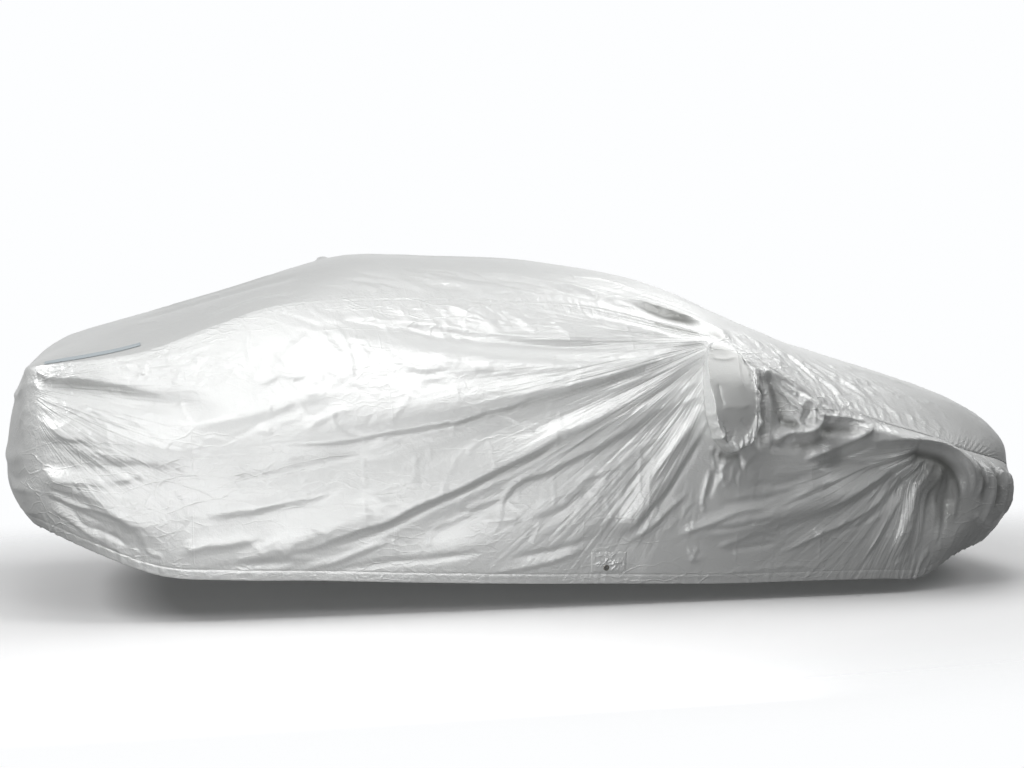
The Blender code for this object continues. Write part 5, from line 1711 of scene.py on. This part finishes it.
@dataclass(frozen=True)
class Nodes:
    """A node tree, with a short way to add each kind of node that the looks repeat."""

    tree: bpy.types.NodeTree

    def read(self, kind: str, output: str, **settings) -> Socket:
        """An output of a node without inputs."""
        return add_node(self.tree, kind, **settings).outputs[output]

    def attribute(self, name: str, output: str = "Fac") -> Socket:
        """An attribute of the mesh."""
        return self.read("ShaderNodeAttribute", output, attribute_name=name)

    def noise(
        self, place: Socket, scale: float, detail: float = 2.0, distortion: float = 0.0, output: str = "Fac"
    ) -> Socket:
        """Noise, with scale waves to the metre."""
        inputs = {"Vector": place, "Scale": scale, "Detail": detail, "Distortion": distortion}
        return add_node(self.tree, "ShaderNodeTexNoise", inputs).outputs[output]

    def sum_of(self, operation: str, *inputs: Socket | float) -> Socket:
        """The result of a sum with numbers."""
        node = add_node(self.tree, "ShaderNodeMath", dict(enumerate(inputs)), operation=operation)
        return node.outputs["Value"]

    def vector_sum(self, operation: str, *inputs: Socket | tuple, output: str = "Vector") -> Socket:
        """The result of a sum with vectors."""
        node = add_node(self.tree, "ShaderNodeVectorMath", dict(enumerate(inputs)), operation=operation)
        return node.outputs[output]

    def ramp(
        self, value: Socket, start: float, end: float, low: float = 0.0, high: float = 1.0,
        shape: str = "SMOOTHSTEP",
    ) -> Socket:
        """Goes from low to high where the value goes from start to end."""
        inputs = {"Value": value, "From Min": start, "From Max": end, "To Min": low, "To Max": high}
        return add_node(self.tree, "ShaderNodeMapRange", inputs, interpolation_type=shape).outputs["Result"]

    def mix(self, factor: Socket, first: Socket | tuple, second: Socket | tuple) -> Socket:
        """A colour between two."""
        inputs = {"Factor": factor, "A": first, "B": second}
        return add_node(self.tree, "ShaderNodeMix", inputs, data_type="RGBA").outputs["Result"]

    def bump(
        self, height: Socket, metres: Socket | float, normal: Socket | None = None, strength: float = 1.0
    ) -> Socket:
        """A normal that a height of that many metres tilts."""
        inputs = {"Height": height, "Strength": strength, "Distance": metres}
        if normal is not None:
            inputs["Normal"] = normal
        return add_node(self.tree, "ShaderNodeBump", inputs).outputs["Normal"]


def new_material(name: str) -> tuple[bpy.types.Material, Nodes, bpy.types.Node, Socket]:
    """A new material, its nodes, its shader, and the coordinates of the object."""
    material = bpy.data.materials.new(name)
    material.use_nodes = True
    nodes = Nodes(material.node_tree)
    place = nodes.read("ShaderNodeTexCoord", "Object")
    return material, nodes, material.node_tree.nodes["Principled BSDF"], place


@dataclass(frozen=True)
class SilverCoatedPolyester:
    """Plain-woven polyester taffeta with an aluminium-pigment coating, calendered to a satin shine.

    The flakes in the coating give a broad soft gloss between paint and metal, and the calendered
    cloth keeps every small crinkle as a facet.
    """

    name: str = "silver_coated_polyester"
    light: str = "#e3e4e3"
    shade: str = "#d8d9d8"
    # the grey that painted shade darkens the cloth towards in hollows
    painted_shade: str = "#8f908d"
    metallic: float = 0.42
    roughness: float = 0.45
    roughness_spread: float = 0.04
    rucks_mm: tuple = ((34.0, 3.0), (14.28, 1.5), (6.8, 0.7))  # size, height
    streaks_mm: tuple = ((26.0, 520.0, 5.8), (11.0, 260.0, 3.2))  # across, along, height
    creases_mm: tuple = ((85.0, 1.4, 3.1), (38.0, 1.0, 5.3))  # size, height; patches to the metre
    crease_line_mm: float = 4.5
    packing_mm: tuple = (385.0, 300.0)
    packing_line: tuple = (0.004, 0.0004)  # width and height in metres
    thread_mm: float = 3.2  # the real thread is 0.3 mm apart, and drawn ten times as coarse to show

    def material(self) -> bpy.types.Material:
        """Makes the material, with painted shade in the hollows that the mesh marks."""
        material, nodes, shader, place = new_material(self.name)
        uv = nodes.read("ShaderNodeUVMap", "UV", uv_map="cloth")
        # deep reads the painted shade in hollows from the mesh.
        worn, deep = nodes.attribute("crumple"), nodes.attribute("painted_shade")
        mottle = nodes.noise(place, 5.0, 4.0)
        tone = nodes.mix(mottle, linear(self.light), linear(self.shade))
        least, most = self.roughness - self.roughness_spread, self.roughness + self.roughness_spread
        normal = self.rucks(nodes, place, worn)
        normal = self.streaks(nodes, normal)
        normal = self.fine_creases(nodes, place, worn, normal)
        normal = self.packing_lines(nodes, uv, place, normal)
        normal = self.weave(nodes, uv, normal)
        fill(shader, {
            # Painted shade: the colour is darkened towards the grey where the mesh marks hollows.
            "Base Color": nodes.mix(deep, tone, linear(self.painted_shade)),
            "Metallic": self.metallic,
            "Roughness": nodes.ramp(mottle, 0.0, 1.0, least, most, shape="LINEAR"),
            "Normal": normal,
        })
        return material

    def rucks(self, nodes: Nodes, place: Socket, worn: Socket) -> Socket:
        """Soft small unevenness all over, stronger where the cloth is crumpled."""
        normal = None
        for size, height in self.rucks_mm:
            noise = nodes.noise(place, 1000 / size, distortion=0.6)
            normal = nodes.bump(noise, nodes.sum_of("MULTIPLY", worn, height / 1000), normal)
        return normal

    def streaks(self, nodes: Nodes, normal: Socket) -> Socket:
        """Fine pulled streaks that spread from the mirror, the wheel and the tail's corner."""
        for pull in PULLS:
            own = nodes.attribute(pull.name, "Vector")
            strength = add_node(nodes.tree, "ShaderNodeSeparateXYZ", {"Vector": own}).outputs["Z"]
            for across, along, height in self.streaks_mm:
                stretched = nodes.vector_sum("MULTIPLY", own, (1000 / across, 1000 / along, 0.0))
                noise = nodes.noise(stretched, 1.0, 1.5, 0.35)
                normal = nodes.bump(noise, nodes.sum_of("MULTIPLY", strength, height / 1000), normal)
        return normal

    def fine_creases(self, nodes: Nodes, place: Socket, worn: Socket, normal: Socket) -> Socket:
        """Two sizes of sharp fine creases, broken up and longer than they are high."""
        warp = nodes.noise(place, 9.0, output="Color")
        bent = nodes.vector_sum("MULTIPLY_ADD", warp, (0.05, 0.05, 0.05), place)
        for size, height, patches_scale in self.creases_mm:
            long_way = nodes.vector_sum("MULTIPLY", bent, (0.42, 1.0, 1.25))
            cells = add_node(
                nodes.tree, "ShaderNodeTexVoronoi",
                {"Vector": long_way, "Scale": 1000 / size, "Randomness": 1.0}, feature="DISTANCE_TO_EDGE",
            )
            line = nodes.ramp(cells.outputs["Distance"], 0.0, self.crease_line_mm / size, 1.0, 0.0)
            shown = nodes.ramp(nodes.noise(bent, patches_scale, 3.0), 0.43, 0.62)
            metres = nodes.sum_of("MULTIPLY", worn, height / 1000)
            normal = nodes.bump(nodes.sum_of("MULTIPLY", line, shown), metres, normal)
        return normal

    def packing_lines(self, nodes: Nodes, uv: Socket, place: Socket, normal: Socket) -> Socket:
        """Faint straight broken lines, left from how the cover was folded in its bag."""
        parts = add_node(nodes.tree, "ShaderNodeSeparateXYZ", {"Vector": uv}).outputs
        patches = nodes.noise(place, 7.0)
        shown = nodes.ramp(patches, 0.46, 0.60, shape="LINEAR")
        width, height = self.packing_line
        for axis, every in zip("XY", self.packing_mm):
            wobble = nodes.sum_of("MULTIPLY_ADD", patches, 0.012, parts[axis])
            line = nodes.ramp(nodes.sum_of("PINGPONG", wobble, every / 1000), 0.0, width, 1.0, 0.0)
            normal = nodes.bump(nodes.sum_of("MULTIPLY", line, shown), height, normal)
        return normal

    def weave(self, nodes: Nodes, uv: Socket, normal: Socket) -> Socket:
        """The threads of the plain weave."""
        inputs = {"Vector": uv, "Scale": 1000 / self.thread_mm / math.tau, "Distortion": 0.6}
        threads = [
            add_node(nodes.tree, "ShaderNodeTexWave", inputs, bands_direction=way).outputs["Fac"]
            for way in "XY"
        ]
        return nodes.bump(nodes.sum_of("ADD", *threads), 0.0002, normal, 0.12)


@dataclass(frozen=True)
class ReflectiveTape:
    """Grey retro-reflective tape: tiny glass beads in a resin, which look matt grey by daylight."""

    name: str = "glass_bead_tape"
    colour: str = "#bcc4c8"
    shade: str = "#abb3b7"
    roughness: float = 0.5
    metallic: float = 0.2
    grain_mm: float = 1.5  # the real beads are 0.06 mm across, and drawn this coarse to show

    def material(self) -> bpy.types.Material:
        """Makes the material."""
        material, nodes, shader, place = new_material(self.name)
        beads = nodes.noise(place, 1050 / self.grain_mm)
        fill(shader, {
            "Base Color": nodes.mix(beads, linear(self.shade), linear(self.colour)),
            "Metallic": self.metallic,
            "Roughness": self.roughness,
            "Normal": nodes.bump(beads, 0.0003, strength=0.2),
        })
        return material


@dataclass(frozen=True)
class NickelPlatedBrass:
    """Pressed brass with bright nickel plate, lightly scratched."""

    name: str = "nickel_plated_brass"
    colour: str = "#b9b6ae"
    roughness: tuple = (0.18, 0.38)

    def material(self) -> bpy.types.Material:
        """Makes the material."""
        material, nodes, shader, place = new_material(self.name)
        marks = nodes.noise(place, 900.0, 3.0, 1.0)
        fill(shader, {
            "Base Color": linear(self.colour),
            "Metallic": 1.0,
            "Roughness": nodes.ramp(marks, 0.0, 1.0, *self.roughness, shape="LINEAR"),
        })
        return material


# ---------- The studio ----------


def hang(name: str, data: bpy.types.ID, place: tuple, way: Vector) -> bpy.types.Object:
    """Puts a light or a camera at a place, looking along a way."""
    holder = bpy.data.objects.new(name, data)
    holder.matrix_world = Matrix.Translation(place) @ way.to_track_quat("-Z", "Y").to_matrix().to_4x4()
    bpy.context.scene.collection.objects.link(holder)
    return holder


@dataclass(frozen=True)
class Softbox:
    """A large soft light, aimed at a point."""

    name: str
    place: tuple
    aim: tuple
    size: tuple
    power: float

    def build(self) -> None:
        """Hangs the light."""
        lamp = bpy.data.lights.new(self.name, "AREA")
        lamp.shape = "RECTANGLE"
        lamp.size, lamp.size_y = self.size
        lamp.energy = self.power
        hang(self.name, lamp, self.place, Vector(self.aim) - Vector(self.place)).visible_camera = False


@dataclass(frozen=True)
class Studio:
    """The pale floor, the soft lights and the camera.

    Attributes:
        floor_z: The floor, which the wheels stand on a little below the cover's lowest hem.
        floor_size: Half its width.
        floor_reach: Where its paint starts to fade out and where it is gone, from the origin.
        camera_place: Where the camera stands.
        camera_turn: How far it is turned to the car's front, in degrees.
        camera_drop: How far it looks down, as a slope.
        focal_pixels: Its focal length in pixels of the picture.
        image_width: The picture's width in pixels.
        centre_pixel: The column that it looks along.
        fill: The light of the room's walls.
        backdrop: The light of the wall behind the car.
        backdrop_edge: Where that wall starts and is full, as the cosine of the angle to it.
        softboxes: The lights.
    """

    floor_z: float = -0.060
    floor_size: float = 14.0
    floor_reach: tuple = (1.0, 3.0)
    camera_place: tuple = (-1.85, -7.02, 1.058)
    camera_turn: float = 14.18
    camera_drop: float = 52.7 / 1591.0
    focal_pixels: float = 1591.0
    image_width: float = 1024.0
    centre_pixel: float = 510.4
    fill: float = 0.135
    backdrop: float = 1.0
    backdrop_edge: tuple = (0.76, 0.92)
    softboxes: tuple = (
        Softbox("key_softbox", (-1.6, -3.1, 1.9), (-1.3, -0.9, 0.6), (1.2, 1.0), 16.0),
        Softbox("high_softbox", (-0.4, -2.4, 3.2), (-0.4, -0.7, 0.9), (1.4, 1.0), 27.0),
        Softbox("roof_softbox", (-0.4, 0.2, 4.4), (-0.2, 0.0, 1.2), (3.0, 2.0), 15.0),
        Softbox("bonnet_softbox", (2.0, 0.2, 3.4), (1.2, -0.2, 0.8), (2.2, 1.8), 50.0),
        Softbox("low_rear_softbox", (-5.0, -4.0, 0.8), (-1.2, -0.9, 0.3), (3.0, 1.4), 23.0),
        Softbox("tail_softbox", (-2.0, -1.6, 3.6), (-1.2, -0.5, 0.9), (2.0, 1.4), 14.0),
        Softbox("nose_softbox", (3.6, -1.2, 2.2), (1.9, -0.4, 0.5), (1.4, 1.2), 12.0),
        Softbox("far_rear_softbox", (-6.0, -1.0, 4.0), (-1.6, -0.3, 0.8), (3.0, 2.0), 175.0),
        Softbox("strip_softbox", (-1.2, -2.6, 0.15), (-1.2, -0.9, 0.15), (2.8, 0.3), 16.0),
    )

    def build(self) -> None:
        """Sets up the floor, the lights and the camera."""
        bm = bmesh.new()
        bmesh.ops.create_grid(bm, x_segments=4, y_segments=4, size=self.floor_size)
        bmesh.ops.translate(bm, verts=bm.verts, vec=(0, 0, self.floor_z))
        floor = linked("studio_floor", bm)
        floor.data.materials.append(self.floor_paint())
        floor.visible_diffuse = floor.visible_glossy = False
        for softbox in self.softboxes:
            softbox.build()
        self.light_world()

        camera = bpy.data.cameras.new("photo_camera")
        camera.sensor_width = 36.0
        camera.lens = self.focal_pixels / self.image_width * camera.sensor_width
        camera.shift_x = (self.image_width / 2 - self.centre_pixel) / self.image_width
        camera.clip_end = 200.0
        drop = math.atan(self.camera_drop)
        ahead = self.ahead() * math.cos(drop) - Vector((0, 0, math.sin(drop)))
        scene = bpy.context.scene
        scene.camera = hang("photo_camera", camera, self.camera_place, ahead)
        scene.view_settings.view_transform = "Standard"

    def ahead(self) -> Vector:
        """The level direction from the camera to the car."""
        turn = math.radians(self.camera_turn)
        return Vector((math.sin(turn), math.cos(turn), 0.0))

    def floor_paint(self) -> bpy.types.Material:
        """Matt white paint that fades out round the car, so the floor runs into the backdrop."""
        paint, nodes, shader, place = new_material("matt_white_paint")
        flat = nodes.vector_sum("MULTIPLY", place, (0.55, 1.0, 0.0))
        gap = nodes.vector_sum("LENGTH", flat, output="Value")
        fill(shader, {
            "Base Color": linear("#f4f4f4"),
            "Roughness": 0.9,
            "Alpha": nodes.ramp(gap, *self.floor_reach, 1.0, 0.0),
        })
        return paint

    def light_world(self) -> None:
        """A white room to look at, whose wall behind the car lights it more than the other walls do."""
        world = bpy.data.worlds.new("studio")
        bpy.context.scene.world = world
        world.use_nodes = True
        nodes = Nodes(world.node_tree)
        nodes.tree.nodes.clear()
        place = nodes.read("ShaderNodeTexCoord", "Generated")
        toward = nodes.vector_sum("DOT_PRODUCT", place, self.ahead(), output="Value")
        strength = nodes.ramp(toward, *self.backdrop_edge, self.fill, self.backdrop)
        shown = nodes.sum_of("MAXIMUM", strength, nodes.read("ShaderNodeLightPath", "Is Camera Ray"))
        inputs = {"Color": linear("#fdfeff"), "Strength": shown}
        glow = add_node(nodes.tree, "ShaderNodeBackground", inputs).outputs["Background"]
        add_node(nodes.tree, "ShaderNodeOutputWorld", {"Surface": glow})


# ---------- The cover ----------


@dataclass
class CarCover:
    """The whole cover: its panels, bags, patches, eyelets and strips."""

    silver: SilverCoatedPolyester = SilverCoatedPolyester()
    tape: ReflectiveTape = ReflectiveTape()
    metal: NickelPlatedBrass = NickelPlatedBrass()

    def right_creases(self) -> list[Crease]:
        """Every crease of the right side."""
        placed = REAR_WING + REAR_DOOR + DOOR_FAN + UPPER_FAN + FRONT_DOOR + MIRROR_LEE + FRONT_WING + NOSE
        return placed + self.small_creases(SEED, SEED + 1)

    def left_creases(self) -> list[Crease]:
        """Every crease of the left side, which the photograph doesn't show."""
        placed = REAR_WING + REAR_DOOR + DOOR_FAN + UPPER_FAN + FRONT_DOOR + FRONT_WING + NOSE
        placed = shifted(placed, SEED + 7, 0.018, 3.0) + shifted(MIRROR_LEE, SEED + 8, 0.006, 3.0)
        return placed + self.small_creases(SEED + 300, SEED + 2)

    @staticmethod
    def small_creases(seed: int, packing_seed: int) -> list[Crease]:
        """The small creases and the packing folds of a side."""
        packing = PackingFolds().creases((-2.05, 2.0), (0.10, 1.12), packing_seed)
        return scattered(RIGHT_ZONES + RIGHT_FANS, seed) + packing

    def dress(self, piece: bpy.types.Object, node: str, finish: bpy.types.Material) -> None:
        """Gives a piece its finish, puts it on the body and lets it stand for its node."""
        piece.data.materials.clear()
        piece.data.materials.append(finish)
        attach(piece, BODY)
        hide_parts(node)
        area = sum(face.area for face in piece.data.polygons)
        LOG.info("%s: %d faces, %.3f m2", piece.name, len(piece.data.polygons), area)

    def build(self) -> None:
        """Builds and dresses every piece."""
        silver, tape, metal = self.silver.material(), self.tape.material(), self.metal.material()
        right = SidePanel(Side.RIGHT, RIGHT_MAIN, self.right_creases())
        left = SidePanel(Side.LEFT, LEFT_MAIN, self.left_creases(), rows=100, column_step=0.0092)
        centre = CentrePanel().build(right, left)
        self.dress(centre, "centre_panel", silver)
        for panel in (right, left):
            label = panel.side.label
            cloth = panel.build()
            self.dress(cloth, f"side_panel_{label}", silver)
            bag = MirrorBag(panel).build()
            self.dress(bag, f"mirror_pocket_{label}", silver)
            patch = EyeletPatch(panel).build()
            self.dress(patch, f"eyelet_patch_{label}", silver)
            strip = ReflectiveStrip(panel.side).build(centre)
            self.dress(strip, f"reflective_strip_{label}", tape)
            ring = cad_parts[f"eyelet_{label}"]
            ring.data.materials.clear()
            ring.data.materials.append(metal)


def main() -> None:
    """Builds the studio and the cover."""
    logging.basicConfig(level=logging.INFO, format="%(message)s")
    Studio().build()
    CarCover().build()
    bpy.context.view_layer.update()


if __name__ == "__main__":
    main()
